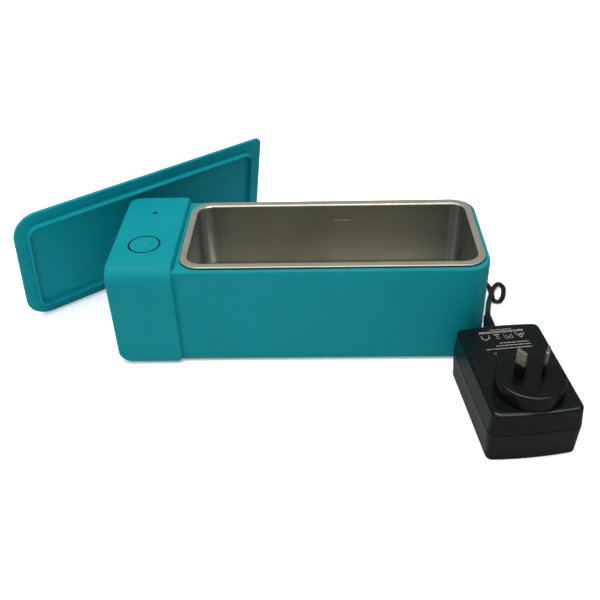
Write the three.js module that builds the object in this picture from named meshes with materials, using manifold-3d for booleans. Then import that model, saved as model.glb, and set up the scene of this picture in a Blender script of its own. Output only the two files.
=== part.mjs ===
// Bench-top ultrasonic cleaner with a lift-off lid and a plug-in mains adapter.
// Units are millimetres, +Z is up and +X runs from the control pod to the far end of the tank.
// The pieces are laid out from the lower front left corner of the tank housing; at the end the
// whole set is moved so that the origin is under the middle of its bounding box.
import * as THREE from 'three';
import { mergeVertices } from 'three/addons/utils/BufferGeometryUtils.js';
import Module from 'manifold-3d';

const wasm = await Module();
wasm.setup();

// ---- driving dimensions -------------------------------------------------------------------
const LENGTH = 230;
const DEPTH = 86;
const DECK_Z = 66;
const WALL = 2.2;
const GAP = 0.3;
const FOOT_HEIGHT = 2;
const END_RADIUS = 14;

const POD_LENGTH = 39.5;
const POD_RISE = 3;
const POD_PROUD = 2.5;
const POD_TOP = DECK_Z + POD_RISE;
const POD_CORNER = { frontTop: 9, other: 1.6, end: 1.4, bottomLeft: 8.5, toe: 2.6 };

const RIM = { x0: 43, x1: 227.4, y0: 2.8, y1: 83.4, radius: 13 };
const BOWL = { x0: 47.8, x1: 222.7, y0: 8.2, y1: 77.7, radius: 9 };
const BOWL_FLOOR = 18;
const SHEET = 0.8;
const GASKET_Z = DECK_Z + 0.05;
const GASKET_THICKNESS = 0.4;
const RIM_Z = GASKET_Z + GASKET_THICKNESS + 0.1;
const FLOOR_FILLET = 6;

const BUTTON = { x: 19.7, y: 27.6, radius: 9.2, slack: 0.35 };
const LED = { x: 19.9, y: 67, pipeRadius: 1 };
const BUTTON_BOARD_Z = 55.4;
const BOARD_THICKNESS = 1.6;
const DRIVER_BOARD_X = 9;

const TRANSDUCER = { x: 135, y: 43, radius: 22.5, thickness: 3 };
const JACK = { x: 28.5, z: 13, noseRadius: 5, boreRadius: 3.1, pinRadius: 1 };
const BARREL = { outer: 2.75, inner: 1.4, reach: 10 };

const LID = { length: 190, width: 86, thickness: 2.4, corner: { tank: 16.5, pod: 5 } };
const LIP = { podEnd: 8, tankEnd: 7.5, side: 8.5, width: 2, height: 3.2, corner: 8 };
const LID_LEAN = THREE.MathUtils.degToRad(10.5);
const LID_YAW = THREE.MathUtils.degToRad(38.76);
const LID_FOOT = { x: 1.5, y: 105.8 };

const CASE = { width: 52, length: 79.2, top: 31.5, parting: 17.3, wall: 2.2, bow: 2.2, corner: 4.2 };
const CASE_DRAFT = { lower: 1.1, lowerRise: 22, upper: 1.1, upperRise: 18, topEdge: 2.4, bottomEdge: 2.2 };
const COLLAR = { inner: 0.3, outer: 0.8, rise: 0.3 };
const CASE_PLACE = { x: 238.3, y: -46, yaw: THREE.MathUtils.degToRad(7) };
const HEAD = { y: -19, radius: 18.8, height: 9.3, spigotRadius: 10 };
const PIN = { width: 6.35, thickness: 1.63, length: 17.1, sleeve: 8.5, spacing: 13.7, splay: 30 };

const CORD_RADIUS = 1.1;
const CORD_Z = -0.72;

// ---- materials ----------------------------------------------------------------------------
function finish(color, roughness, metalness) {
  return new THREE.MeshStandardMaterial({ color, roughness, metalness });
}
const teal = () => finish(0x12919b, 0.55, 0);
const steel = () => finish(0xa39c90, 0.3, 1);
const rubber = () => finish(0x1b1c1d, 0.85, 0);
const blackPlastic = () => finish(0x232526, 0.35, 0);
const board = () => finish(0x1d5a35, 0.5, 0);
const ferrite = () => finish(0x3a3a3c, 0.6, 0);
const nickel = () => finish(0xb0aa9c, 0.28, 1);
const aluminium = () => finish(0xb9bcc0, 0.4, 1);
const screwSteel = () => finish(0x8f9194, 0.35, 1);
const ceramic = () => finish(0xd9d4c8, 0.5, 0);

// ---- solid helpers ------------------------------------------------------------------------
function toManifold(geometry) {
  const bare = new THREE.BufferGeometry();
  bare.setAttribute('position', geometry.getAttribute('position'));
  if (geometry.index) bare.setIndex(geometry.index);
  const welded = mergeVertices(bare, 1e-4);
  const corners = welded.index.array;
  const faces = [];
  for (let i = 0; i < corners.length; i += 3) {
    const [a, b, c] = corners.slice(i, i + 3);
    if (a !== b && b !== c && c !== a) faces.push(a, b, c);
  }
  return new wasm.Manifold(new wasm.Mesh({
    numProp: 3,
    vertProperties: new Float32Array(welded.getAttribute('position').array),
    triVerts: new Uint32Array(faces),
  }));
}

function toGeometry(manifold) {
  const { vertProperties, triVerts } = manifold.getMesh();
  const geometry = new THREE.BufferGeometry();
  geometry.setAttribute('position', new THREE.BufferAttribute(vertProperties, 3));
  geometry.setIndex(new THREE.BufferAttribute(triVerts, 1));
  geometry.computeVertexNormals();
  return geometry;
}

function cut(geometry, ...tools) {
  const result = tools.reduce((body, tool) => body.subtract(toManifold(tool)), toManifold(geometry));
  return toGeometry(result);
}

function join(geometry, ...others) {
  const result = others.reduce((body, other) => body.add(toManifold(other)), toManifold(geometry));
  return toGeometry(result);
}

function common(first, second) {
  return toGeometry(toManifold(first).intersect(toManifold(second)));
}

// ---- shape helpers ------------------------------------------------------------------------
// Rectangle with its own radius at each corner: lower left, lower right, upper right, upper left.
function roundedRect(x0, y0, x1, y1, radii) {
  const [r0, r1, r2, r3] = Array.isArray(radii) ? radii : [radii, radii, radii, radii];
  const shape = new THREE.Shape();
  shape.absarc(x1 - r1, y0 + r1, r1, -Math.PI / 2, 0);
  shape.absarc(x1 - r2, y1 - r2, r2, 0, Math.PI / 2);
  shape.absarc(x0 + r3, y1 - r3, r3, Math.PI / 2, Math.PI);
  shape.absarc(x0 + r0, y0 + r0, r0, Math.PI, 1.5 * Math.PI);
  return shape;
}

// Straight-sided solid between two heights; edge rounds both rims inward by that radius.
function prism(shape, z0, z1, { edge = 0, rise = edge, segments = 3, corner = 6 } = {}) {
  const bevelled = edge > 0;
  const geometry = new THREE.ExtrudeGeometry(shape, {
    depth: z1 - z0 - (bevelled ? 2 * rise : 0),
    bevelEnabled: bevelled,
    bevelSize: edge,
    bevelThickness: rise,
    bevelOffset: -edge,
    bevelSegments: segments,
    curveSegments: corner,
  });
  geometry.translate(0, 0, z0 + (bevelled ? rise : 0));
  return geometry;
}

// As prism, but only the top rim is rounded.
function toppedPrism(shape, z0, z1, edge, options = {}) {
  const square = prism(shape, z0, z0 + 2.5 * edge, options);
  return join(prism(shape, z0, z1, { edge, ...options }), square);
}

function block(x0, y0, z0, x1, y1, z1) {
  const geometry = new THREE.BoxGeometry(x1 - x0, y1 - y0, z1 - z0);
  geometry.translate((x0 + x1) / 2, (y0 + y1) / 2, (z0 + z1) / 2);
  return geometry;
}

// Round bar along an axis ('x', 'y' or 'z') from one coordinate to another; radiusEnd tapers it.
function bar(axis, from, to, a, b, radius, sides = 20, radiusEnd = radius) {
  const geometry = new THREE.CylinderGeometry(radiusEnd, radius, to - from, sides);
  geometry.translate(0, (from + to) / 2, 0);
  if (axis === 'x') {
    geometry.rotateZ(-Math.PI / 2);
    geometry.translate(0, a, b);
  } else if (axis === 'y') {
    geometry.translate(a, 0, b);
  } else {
    geometry.rotateX(Math.PI / 2);
    geometry.translate(a, b, 0);
  }
  return geometry;
}

// Solid of revolution about a vertical axis; the profile is [radius, z] from the bottom up.
function turned(profile, x, y, sides = 28) {
  const points = profile.map(([radius, z]) => new THREE.Vector2(radius, z));
  const geometry = new THREE.LatheGeometry(points, sides);
  geometry.rotateX(Math.PI / 2);
  geometry.translate(x, y, 0);
  return geometry;
}

function swept(shape, points, steps) {
  const path = new THREE.CatmullRomCurve3(points.map((p) => new THREE.Vector3(...p)));
  return new THREE.ExtrudeGeometry(shape, { steps, extrudePath: path, curveSegments: 2 });
}

function wire(points, radius, steps) {
  const section = new THREE.Shape();
  section.absarc(0, 0, radius, 0, 2 * Math.PI);
  return swept(section, points, steps);
}

function outline(points) {
  return new THREE.Shape(points.map(([x, y]) => new THREE.Vector2(x, y)));
}

const set = new THREE.Group();

function add(name, geometry, material, parent = set) {
  const mesh = new THREE.Mesh(geometry, material);
  mesh.name = name;
  parent.add(mesh);
  return mesh;
}

// ---- tank housing: one moulding that runs on under the control pod -------------------------
const HOUSING_X0 = 3;
const DECK_EDGE = 2;
const BOSS = { x: [50, 200], y: [5.5, DEPTH - 5.5], radius: 3.6, bore: 1.35, top: 14, z0: 2.9 };
const BOARD_BOSS = { y: [16, 70], z: 44, radius: 3.2, bore: 1.1 };
const BULKHEAD = { x0: 40.6, x1: 42.6, z0: 12 };

// What comes off along the rounded lower left edge, which the pod and the housing share.
function lowerLeftEdge(y0, y1) {
  const radius = POD_CORNER.bottomLeft;
  const middle = radius - 0.1;
  const round = bar('y', y0 - 2, y1 + 2, middle, middle, radius, 48);
  return cut(block(-1, y0 - 1, -1, middle, y1 + 1, middle), round);
}

function housing() {
  const plan = roundedRect(HOUSING_X0, 0, LENGTH, DEPTH, [3, END_RADIUS, END_RADIUS, 3]);
  const inner = END_RADIUS - WALL;
  const hollow = roundedRect(HOUSING_X0 + WALL, WALL, LENGTH - WALL, DEPTH - WALL, [1, inner, inner, 1]);
  let body = cut(toppedPrism(plan, 0, DECK_Z, DECK_EDGE, { segments: 2 }), prism(hollow, -1, DECK_Z - WALL));
  const slack = SHEET + 0.6;
  const opening = roundedRect(BOWL.x0 - slack, BOWL.y0 - slack, BOWL.x1 + slack, BOWL.y1 + slack,
    BOWL.radius + slack);
  const bay = roundedRect(6.5, 6, 35.5, 80, 3);
  body = cut(body, prism(opening, DECK_Z - 8, DECK_Z + 4), prism(bay, DECK_Z - 8, DECK_Z + 4));
  body = join(body, block(BULKHEAD.x0, 1, BULKHEAD.z0, BULKHEAD.x1, DEPTH - 1, DECK_Z - 1));
  for (const x of BOSS.x) {
    for (const y of BOSS.y) {
      body = join(body, bar('z', BOSS.z0, BOSS.top, x, y, BOSS.radius, 16));
      body = cut(body, bar('z', BOSS.z0 - 1, BOSS.top - 1.5, x, y, BOSS.bore, 12));
    }
  }
  for (const y of BOARD_BOSS.y) {
    const { z, radius, bore } = BOARD_BOSS;
    body = join(body, bar('x', HOUSING_X0 + 1, DRIVER_BOARD_X - 0.2, y, z, radius, 14));
    body = cut(body, bar('x', HOUSING_X0 + 1.5, DRIVER_BOARD_X, y, z, bore, 10));
  }
  const jackHole = bar('y', DEPTH - WALL - 2, DEPTH + 1, JACK.x, JACK.z, JACK.noseRadius + 0.5);
  return cut(body, jackHole, lowerLeftEdge(0, DEPTH));
}
add('tank_housing', housing(), teal());

// ---- control pod: a cap sleeved over the left end of the housing ---------------------------
const POD_BOSS = [{ x: 11.5, y: 42 }, { x: 28, y: 50 }];
const LONG_TO_X = new THREE.Matrix4().makeBasis(
  new THREE.Vector3(0, 1, 0), new THREE.Vector3(0, 0, 1), new THREE.Vector3(1, 0, 0));

// The side profile runs along the pod and its left rim is eased.
function podOutside(y0, y1) {
  const c = POD_CORNER;
  const profile = roundedRect(y0, 0, y1, POD_TOP, [c.other, c.other, c.other, c.frontTop]);
  const long = prism(profile, 0, 2 * POD_LENGTH, { edge: c.end, corner: 7 });
  long.applyMatrix4(LONG_TO_X);
  const half = common(long, block(-1, y0 - 1, -1, POD_LENGTH, y1 + 1, POD_TOP + 1));
  const middle = POD_LENGTH - c.toe;
  const toe = cut(block(middle, y0 - 1, -1, POD_LENGTH + 1, y1 + 1, c.toe),
    bar('y', y0 - 2, y1 + 2, middle, c.toe, c.toe + 0.02, 36));
  return cut(half, lowerLeftEdge(y0, y1), toe);
}

function pod() {
  const y0 = -POD_PROUD;
  const y1 = DEPTH + POD_PROUD;
  let body = podOutside(y0, y1);
  const shoulder = DECK_EDGE + GAP;
  const hollow = roundedRect(-GAP, -1, DEPTH + GAP, DECK_Z + GAP, [0.5, 0.5, shoulder, shoulder]);
  const core = prism(hollow, HOUSING_X0 - GAP, POD_LENGTH + 1);
  core.applyMatrix4(LONG_TO_X);
  const buttonHole = BUTTON.radius + BUTTON.slack;
  body = cut(body, core, bar('z', DECK_Z - 1, POD_TOP + 1, BUTTON.x, BUTTON.y, buttonHole, 36));
  body = cut(body, bar('z', DECK_Z - 1, POD_TOP + 1, LED.x, LED.y, LED.pipeRadius + 0.2, 12));
  for (const { x, y } of POD_BOSS) {
    body = join(body, bar('z', BUTTON_BOARD_Z + BOARD_THICKNESS + 0.2, DECK_Z + 1, x, y, 2.8, 14));
    body = cut(body, bar('z', BUTTON_BOARD_Z, DECK_Z - 2, x, y, 1.15, 10));
  }
  return cut(body, bar('y', DEPTH - 1, y1 + 1, JACK.x, JACK.z, JACK.noseRadius + 0.4));
}
add('control_pod_cover', pod(), teal());

// ---- bottom cover, its screws and the feet --------------------------------------------------
const COVER = { z0: 0.2, z1: 2.6 };
const SCREW = { head: 2.6, shank: 1.2 };

function bottomCover() {
  const side = WALL + GAP;
  const corner = END_RADIUS - side;
  const plan = roundedRect(HOUSING_X0 + side, side, LENGTH - side, DEPTH - side, [1, corner, corner, 1]);
  let plate = prism(plan, COVER.z0, COVER.z1);
  for (const x of BOSS.x) {
    for (const y of BOSS.y) {
      const recess = bar('z', -1, 1.9, x, y, SCREW.head + GAP, 16);
      plate = cut(plate, recess, bar('z', -1, 4, x, y, SCREW.shank + GAP, 12));
    }
  }
  return plate;
}
add('bottom_cover', bottomCover(), finish(0x0f6e78, 0.65, 0));

function panHeadScrew(axis, head, tip, a, b, headRadius, shankRadius) {
  const up = Math.sign(tip - head);
  const neck = head + 1.3 * up;
  const cap = bar(axis, Math.min(head, neck), Math.max(head, neck), a, b, headRadius, 14);
  const shank = bar(axis, Math.min(neck, tip) - 0.1, Math.max(neck, tip) + 0.1, a, b, shankRadius, 10);
  return join(cap, shank);
}

let screwNumber = 0;
for (const x of BOSS.x) {
  for (const y of BOSS.y) {
    screwNumber += 1;
    const screw = panHeadScrew('z', 0.45, 11, x, y, SCREW.head, SCREW.shank);
    add(`bottom_screw_${screwNumber}`, screw, screwSteel());
  }
}

const FEET = {
  foot_front_left: [16, 13],
  foot_back_left: [16, DEPTH - 13],
  foot_front_right: [214, 14],
  foot_back_right: [214, DEPTH - 14],
};
for (const [name, [x, y]] of Object.entries(FEET)) {
  const seat = COVER.z0 - 0.05;
  const profile = [[0, -FOOT_HEIGHT], [4.4, -FOOT_HEIGHT], [5, -1.4], [5, seat], [0, seat]];
  add(name, turned(profile, x, y, 20), rubber());
}

// ---- drawn steel basin and the seal under its rim -------------------------------------------
function basin() {
  const o = SHEET;
  const outer = roundedRect(BOWL.x0 - o, BOWL.y0 - o, BOWL.x1 + o, BOWL.y1 + o, BOWL.radius + o);
  const inner = roundedRect(BOWL.x0, BOWL.y0, BOWL.x1, BOWL.y1, BOWL.radius);
  const rim = roundedRect(RIM.x0, RIM.y0, RIM.x1, RIM.y1, RIM.radius);
  const deep = { segments: 4, corner: 5 };
  const tub = prism(outer, BOWL_FLOOR - o, DECK_Z + 20, { edge: FLOOR_FILLET + o, ...deep });
  const topped = common(tub, block(0, -10, 0, LENGTH, DEPTH, RIM_Z + SHEET));
  const flange = prism(rim, RIM_Z, RIM_Z + SHEET, { edge: 0.35, segments: 1, corner: 7 });
  const room = prism(inner, BOWL_FLOOR, DECK_Z + 20, { edge: FLOOR_FILLET, ...deep });
  const mark = block(137, BOWL.y1 - 0.4, 55, 149, BOWL.y1 + 0.1, 55.8);
  return join(cut(join(topped, flange), room), mark);
}
add('tank_basin', basin(), steel());

function gasket() {
  const edge = 0.35;
  const outer = roundedRect(RIM.x0 - edge, RIM.y0 - edge, RIM.x1 + edge, RIM.y1 + edge, RIM.radius + edge);
  const hole = roundedRect(45.6, 6.1, 224.9, 79.8, 10.5);
  return cut(prism(outer, GASKET_Z, GASKET_Z + GASKET_THICKNESS), prism(hole, DECK_Z - 1, DECK_Z + 2));
}
add('tank_gasket', gasket(), rubber());

// ---- transducer bonded under the basin ------------------------------------------------------
const TRANSDUCER_TOP = BOWL_FLOOR - SHEET - 0.15;
const TRANSDUCER_BASE = TRANSDUCER_TOP - TRANSDUCER.thickness;
add('transducer_disc',
  bar('z', TRANSDUCER_BASE, TRANSDUCER_TOP, TRANSDUCER.x, TRANSDUCER.y, TRANSDUCER.radius, 32),
  ceramic());

// ---- driver board and its components --------------------------------------------------------
const PARTS_X = DRIVER_BOARD_X + BOARD_THICKNESS + 0.15;

function driverBoard() {
  let plate = block(DRIVER_BOARD_X, 10, 5, DRIVER_BOARD_X + BOARD_THICKNESS, 76, 50);
  for (const y of BOARD_BOSS.y) plate = cut(plate, bar('x', 0, 20, y, BOARD_BOSS.z, 1.3, 12));
  return plate;
}
add('driver_board', driverBoard(), board());

BOARD_BOSS.y.forEach((y, i) => {
  const screw = panHeadScrew('x', DRIVER_BOARD_X + BOARD_THICKNESS + 1.5, 5.6, y, BOARD_BOSS.z, 2.3, 0.95);
  add(`driver_board_screw_${i + 1}`, screw, screwSteel());
});

const driverCore = block(PARTS_X, 20, 8, PARTS_X + 12, 38, 24);
const driverBobbin = block(PARTS_X + 2, 18, 11, PARTS_X + 10, 40, 21);
add('driver_transformer', join(driverCore, driverBobbin), ferrite());

function choke() {
  const ring = new THREE.TorusGeometry(5.2, 2.6, 8, 18);
  ring.rotateY(Math.PI / 2);
  ring.translate(PARTS_X + 2.7, 52, 15);
  return ring;
}
add('driver_choke', choke(), finish(0xb36b3c, 0.4, 0.6));
add('driver_capacitor', bar('x', PARTS_X, PARTS_X + 16, 58, 32, 5, 18), finish(0x20304f, 0.4, 0));
add('power_transistor', block(PARTS_X, 27, 32, PARTS_X + 4.5, 37, 47), finish(0x1d1e20, 0.5, 0));

function heatsink() {
  const x0 = PARTS_X + 4.7;
  let fins = block(x0, 25, 30, x0 + 2, 47, 49);
  for (const y of [25, 32, 39, 45.5]) fins = join(fins, block(x0 + 1, y, 30, x0 + 9, y + 1.5, 49));
  return fins;
}
add('transistor_heatsink', heatsink(), aluminium());
add('driver_connector', block(PARTS_X, 62, 10, PARTS_X + 6, 72, 16), finish(0xe6e2d6, 0.5, 0));

// ---- button board, switch and indicator -----------------------------------------------------
const SWITCH_TOP = BUTTON_BOARD_Z + BOARD_THICKNESS + 3.5;

function buttonBoard() {
  let plate = block(7.5, 16, BUTTON_BOARD_Z, 33, 74, BUTTON_BOARD_Z + BOARD_THICKNESS);
  for (const { x, y } of POD_BOSS) plate = cut(plate, bar('z', 50, 60, x, y, 1.3, 12));
  return plate;
}
add('button_board', buttonBoard(), board());

POD_BOSS.forEach(({ x, y }, i) => {
  const screw = panHeadScrew('z', BUTTON_BOARD_Z - 1.5, DECK_Z - 3, x, y, 2.3, 0.95);
  add(`button_board_screw_${i + 1}`, screw, screwSteel());
});

function tactSwitch() {
  const z0 = BUTTON_BOARD_Z + BOARD_THICKNESS + 0.1;
  const body = block(BUTTON.x - 3, BUTTON.y - 3, z0, BUTTON.x + 3, BUTTON.y + 3, SWITCH_TOP);
  return cut(body, bar('z', z0 + 1, SWITCH_TOP + 1, BUTTON.x, BUTTON.y, 1.95, 16));
}
add('tact_switch', tactSwitch(), finish(0x2a2c2f, 0.5, 0));
const plunger = bar('z', SWITCH_TOP - 1.6, SWITCH_TOP + 1.6, BUTTON.x, BUTTON.y, 1.7, 16);
add('switch_plunger', plunger, finish(0x111214, 0.5, 0));

function powerButton() {
  const r = BUTTON.radius;
  const top = POD_TOP + 0.2;
  const underside = DECK_Z + GAP - 0.3;
  const profile = [
    [0, SWITCH_TOP + 1.7], [2.2, SWITCH_TOP + 1.7], [2.2, underside - 1.6],
    [r + 1.4, underside - 1.6], [r + 1.4, underside], [r, underside],
    [r, top - 0.5], [r - 0.5, top], [r - 1.4, top], [0, top - 0.35],
  ];
  return turned(profile, BUTTON.x, BUTTON.y, 36);
}
add('power_button', powerButton(), teal());

const LED_BASE = BUTTON_BOARD_Z + BOARD_THICKNESS + 0.1;
const ledProfile = [[0, LED_BASE], [1.8, LED_BASE], [1.8, LED_BASE + 0.8], [1.5, LED_BASE + 0.8],
  [1.5, LED_BASE + 3.4], [1.05, LED_BASE + 4.5], [0, LED_BASE + 4.9]];
add('status_led', turned(ledProfile, LED.x, LED.y, 14), finish(0xe8f4f6, 0.2, 0));
const lightPipe = bar('z', LED_BASE + 5.1, POD_TOP - 0.1, LED.x, LED.y, LED.pipeRadius, 12);
add('light_pipe', lightPipe, finish(0xd6e2e4, 0.15, 0));

// ---- power socket ---------------------------------------------------------------------------
const SOCKET = { y0: 73, body: 83.4, nose: DEPTH + POD_PROUD - 0.3, floor: 77 };

function dcJack() {
  const { x, z } = JACK;
  const shell = join(
    block(x - 5, SOCKET.y0, z - 5.5, x + 5, SOCKET.body, z + 5.5),
    bar('y', SOCKET.body - 1, SOCKET.nose, x, z, JACK.noseRadius, 24));
  return cut(shell,
    bar('y', SOCKET.floor, SOCKET.nose + 1, x, z, JACK.boreRadius, 20),
    bar('y', SOCKET.floor - 2.5, SOCKET.floor + 1, x, z, JACK.pinRadius + 0.15, 12));
}
add('dc_jack', dcJack(), blackPlastic());
const centrePin = bar('y', SOCKET.floor - 2.3, SOCKET.nose - 1.2, JACK.x, JACK.z, JACK.pinRadius, 12);
add('jack_center_pin', centrePin, nickel());

// ---- internal wiring ------------------------------------------------------------------------
const copperRed = () => finish(0xa02622, 0.5, 0);
const copperBlack = () => finish(0x18191a, 0.5, 0);

[[0, copperRed, 'live'], [3.4, copperBlack, 'return']].forEach(([step, colour, role]) => {
  const y = 42 + step;
  const start = [PARTS_X + 1.5, y, 6.4];
  const route = [start, [22, y, 6], [40, y, 6], [80, y, 6.5], [112, y, 8], [122, y, 12.4]];
  add(`transducer_wire_${role}`, wire(route, 0.8, 14), colour());
});
[[-2.2, copperRed, 'positive'], [2.2, copperBlack, 'negative']].forEach(([step, colour, role]) => {
  const route = [
    [PARTS_X + 6.9, 67 + step, 13], [20.5, 67 + step, 13],
    [24, 69 + step * 0.4, 13 + step], [27 + step * 0.5, 71.5, 13 + step],
  ];
  add(`jack_wire_${role}`, wire(route, 0.7, 10), colour());
});

const ribbonSection = outline([[-0.4, -4], [0.4, -4], [0.4, 4], [-0.4, 4]]);
const ribbonRoute = [
  [31.5, 62, 54.6], [31.5, 62, 50], [27, 62, 45.5], [18, 62, 44], [PARTS_X + 0.6, 62, 43.5],
];
add('button_ribbon', swept(ribbonSection, ribbonRoute, 12), finish(0x8e9296, 0.6, 0));

// ---- lid, built closed-side down about its own centre, then leant on the pod ----------------
function lid() {
  const hx = LID.length / 2;
  const hy = LID.width / 2;
  const { tank, pod: near } = LID.corner;
  const plan = roundedRect(-hx, -hy, hx, hy, [near, tank, tank, near]);
  const lipPlan = (inset) => roundedRect(-hx + LIP.podEnd + inset, -hy + LIP.side + inset,
    hx - LIP.tankEnd - inset, hy - LIP.side - inset, LIP.corner - inset);
  const lip = cut(
    prism(lipPlan(0), -LIP.height, 1.2, { edge: 0.8, segments: 2, corner: 5 }),
    prism(lipPlan(LIP.width), -LIP.height - 1, 0, { corner: 5 }));
  return join(prism(plan, 0, LID.thickness, { edge: 0.9, segments: 2, corner: 7 }), lip);
}

const lidPose = new THREE.Matrix4().makeRotationZ(LID_YAW)
  .multiply(new THREE.Matrix4().makeRotationX(LID_LEAN))
  .multiply(new THREE.Matrix4().makeRotationZ(Math.PI))
  .multiply(new THREE.Matrix4().makeRotationX(Math.PI / 2));
const lidMesh = add('lid', lid(), teal());
const lidRise = new THREE.Vector3(0, LID.width / 2, 0).applyMatrix4(lidPose);
const lidFoot = new THREE.Vector3(LID_FOOT.x, LID_FOOT.y, -FOOT_HEIGHT + 0.02);
lidPose.setPosition(lidFoot.add(lidRise));
lidMesh.applyMatrix4(lidPose);

// ---- right-angle plug in the power socket ---------------------------------------------------
const PLUG_FACE = DEPTH + POD_PROUD + 0.4;
const GRIP = { depth: 12, half: 6, boot: 14.5 };

function plugGrip() {
  const { x, z } = JACK;
  const middle = PLUG_FACE + GRIP.depth / 2;
  const plan = roundedRect(x - 6, PLUG_FACE, x + 7, PLUG_FACE + GRIP.depth, 2.5);
  const head = prism(plan, z - GRIP.half, z + GRIP.half, { edge: 1.2, segments: 2, corner: 3 });
  const boot = bar('x', x + 5, x + 7 + GRIP.boot, middle, z, 3.8, 16, 2.2);
  return cut(join(head, boot), bar('y', PLUG_FACE - 1, PLUG_FACE + 5, x, z, BARREL.outer + 0.2, 20));
}
add('dc_plug_grip', plugGrip(), rubber());
add('dc_plug_barrel',
  cut(bar('y', PLUG_FACE - BARREL.reach, PLUG_FACE + 4.7, JACK.x, JACK.z, BARREL.outer, 20),
    bar('y', PLUG_FACE - BARREL.reach - 1, PLUG_FACE + 6, JACK.x, JACK.z, BARREL.inner, 14)),
  nickel());

// ---- mains adapter: two-part case, board and strain relief ----------------------------------
const adapter = new THREE.Group();
adapter.position.set(CASE_PLACE.x, CASE_PLACE.y, 0);
adapter.rotation.z = CASE_PLACE.yaw;
set.add(adapter);

// Plan outline of the case: straight sides, rounded corners and slightly bowed ends.
function caseOutline(inset) {
  const w = CASE.width / 2 - inset;
  const end = CASE.length / 2 - inset;
  const r = CASE.corner - inset;
  const bow = CASE.bow;
  const shape = new THREE.Shape();
  shape.moveTo(w, -end + bow + r);
  shape.lineTo(w, end - bow - r);
  shape.quadraticCurveTo(w, end - bow * 0.75, w - r, end - bow * 0.5);
  shape.quadraticCurveTo(0, end + bow * 0.5, -w + r, end - bow * 0.5);
  shape.quadraticCurveTo(-w, end - bow * 0.75, -w, end - bow - r);
  shape.lineTo(-w, -end + bow + r);
  shape.quadraticCurveTo(-w, -end + bow * 0.75, -w + r, -end + bow * 0.5);
  shape.quadraticCurveTo(0, -end - bow * 0.5, w - r, -end + bow * 0.5);
  shape.quadraticCurveTo(w, -end + bow * 0.75, w, -end + bow + r);
  return shape;
}

const STRAIN = {
  neck: 4, collar: 1.8, z0: 11, z1: 21, inside: 34.8, root: 40, tip: 66, tipX: 4.3, tipHalf: 2,
};
const PORT_HALF = STRAIN.neck + GAP;
const strainPort = block(-PORT_HALF, 31, STRAIN.z0 - GAP, PORT_HALF, 43, STRAIN.z1 + GAP);

// The walls draw in below the parting line and the bottom rim is rounded.
function lowerCase() {
  const { lower, lowerRise: rise, bottomEdge } = CASE_DRAFT;
  const start = -FOOT_HEIGHT - 1;
  const drafted = prism(caseOutline(0), start, start + 2.5 * rise, { edge: lower, rise, segments: 1 });
  const rounded = prism(caseOutline(0), -FOOT_HEIGHT, CASE.top + 20, { edge: bottomEdge });
  const cup = common(common(drafted, rounded), block(-40, -50, -5, 40, 50, CASE.parting));
  const room = prism(caseOutline(CASE.wall + 1.6), -FOOT_HEIGHT + CASE.wall, CASE.parting + 1);
  return cut(cup, room, strainPort);
}
add('adapter_lower_case', lowerCase(), blackPlastic(), adapter);

function upperCase() {
  const z0 = CASE.parting + 0.3;
  const { upper, upperRise: rise, topEdge } = CASE_DRAFT;
  const drafted = prism(caseOutline(0), z0 - 2 * rise, z0 + rise, { edge: upper, rise, segments: 1 });
  let shell = common(toppedPrism(caseOutline(0), z0, CASE.top, topEdge), drafted);
  shell = cut(shell, prism(caseOutline(CASE.wall), z0 - 1, CASE.top - CASE.wall), strainPort);
  const crest = CASE.top + COLLAR.rise;
  const collar = cut(bar('z', CASE.top - 1, crest, 0, HEAD.y, HEAD.radius + COLLAR.outer, 36),
    bar('z', CASE.top - 2, CASE.top + 2, 0, HEAD.y, HEAD.radius + COLLAR.inner, 36));
  shell = join(shell, collar);
  return cut(shell, bar('z', CASE.top - 5, CASE.top + 2, 0, HEAD.y, HEAD.spigotRadius + 0.3, 28));
}
add('adapter_upper_case', upperCase(), blackPlastic(), adapter);

add('adapter_board', block(-18, -32, 3, 18, 30, 3 + BOARD_THICKNESS), board(), adapter);
const adapterCore = join(block(-10, 2, 4.8, 10, 20, 20), block(-8, -1, 7, 8, 23, 17));
const sleeve = () => finish(0x2a2440, 0.4, 0);
add('adapter_transformer', adapterCore, ferrite(), adapter);
add('adapter_input_capacitor', bar('z', 4.8, 22, -9, -20, 6, 18), sleeve(), adapter);
add('adapter_output_capacitor', bar('z', 4.8, 18, 12, -22, 4, 16), sleeve(), adapter);

function strainRelief() {
  const { neck, collar, inside, root, tip, tipX, tipHalf } = STRAIN;
  const flare = neck + collar;
  const taper = root + 5.3;
  const plan = outline([
    [-neck, inside], [neck, inside], [neck, root], [flare, root], [flare, root + 2.8],
    [neck + 1, taper], [tipX + tipHalf, tip], [tipX - tipHalf, tip], [-neck, taper],
    [-flare, root + 2.8], [-flare, root], [-neck, root],
  ]);
  const middle = (STRAIN.z0 + STRAIN.z1) / 2;
  const side = outline([
    [inside, STRAIN.z0], [taper, STRAIN.z0], [tip, middle - tipHalf], [tip, middle + tipHalf],
    [taper, STRAIN.z1], [inside, STRAIN.z1],
  ]);
  const sideways = prism(side, -20, 20);
  sideways.applyMatrix4(LONG_TO_X);
  return common(prism(plan, 0, 30), sideways);
}
add('adapter_strain_relief', strainRelief(), rubber(), adapter);

// ---- plug head with its two flat pins -------------------------------------------------------
const HEAD_Z = CASE.top + 0.2;
const HEAD_TOP = HEAD_Z + HEAD.height;

// Pin-shaped bar: the two pins lean towards each other at the front of the adapter.
function pinBar(side, width, thickness, z0, z1) {
  const geometry = new THREE.BoxGeometry(width, thickness, z1 - z0);
  geometry.rotateZ(THREE.MathUtils.degToRad(90 - side * PIN.splay));
  geometry.translate(side * PIN.spacing / 2, HEAD.y, (z0 + z1) / 2);
  return geometry;
}

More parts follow.
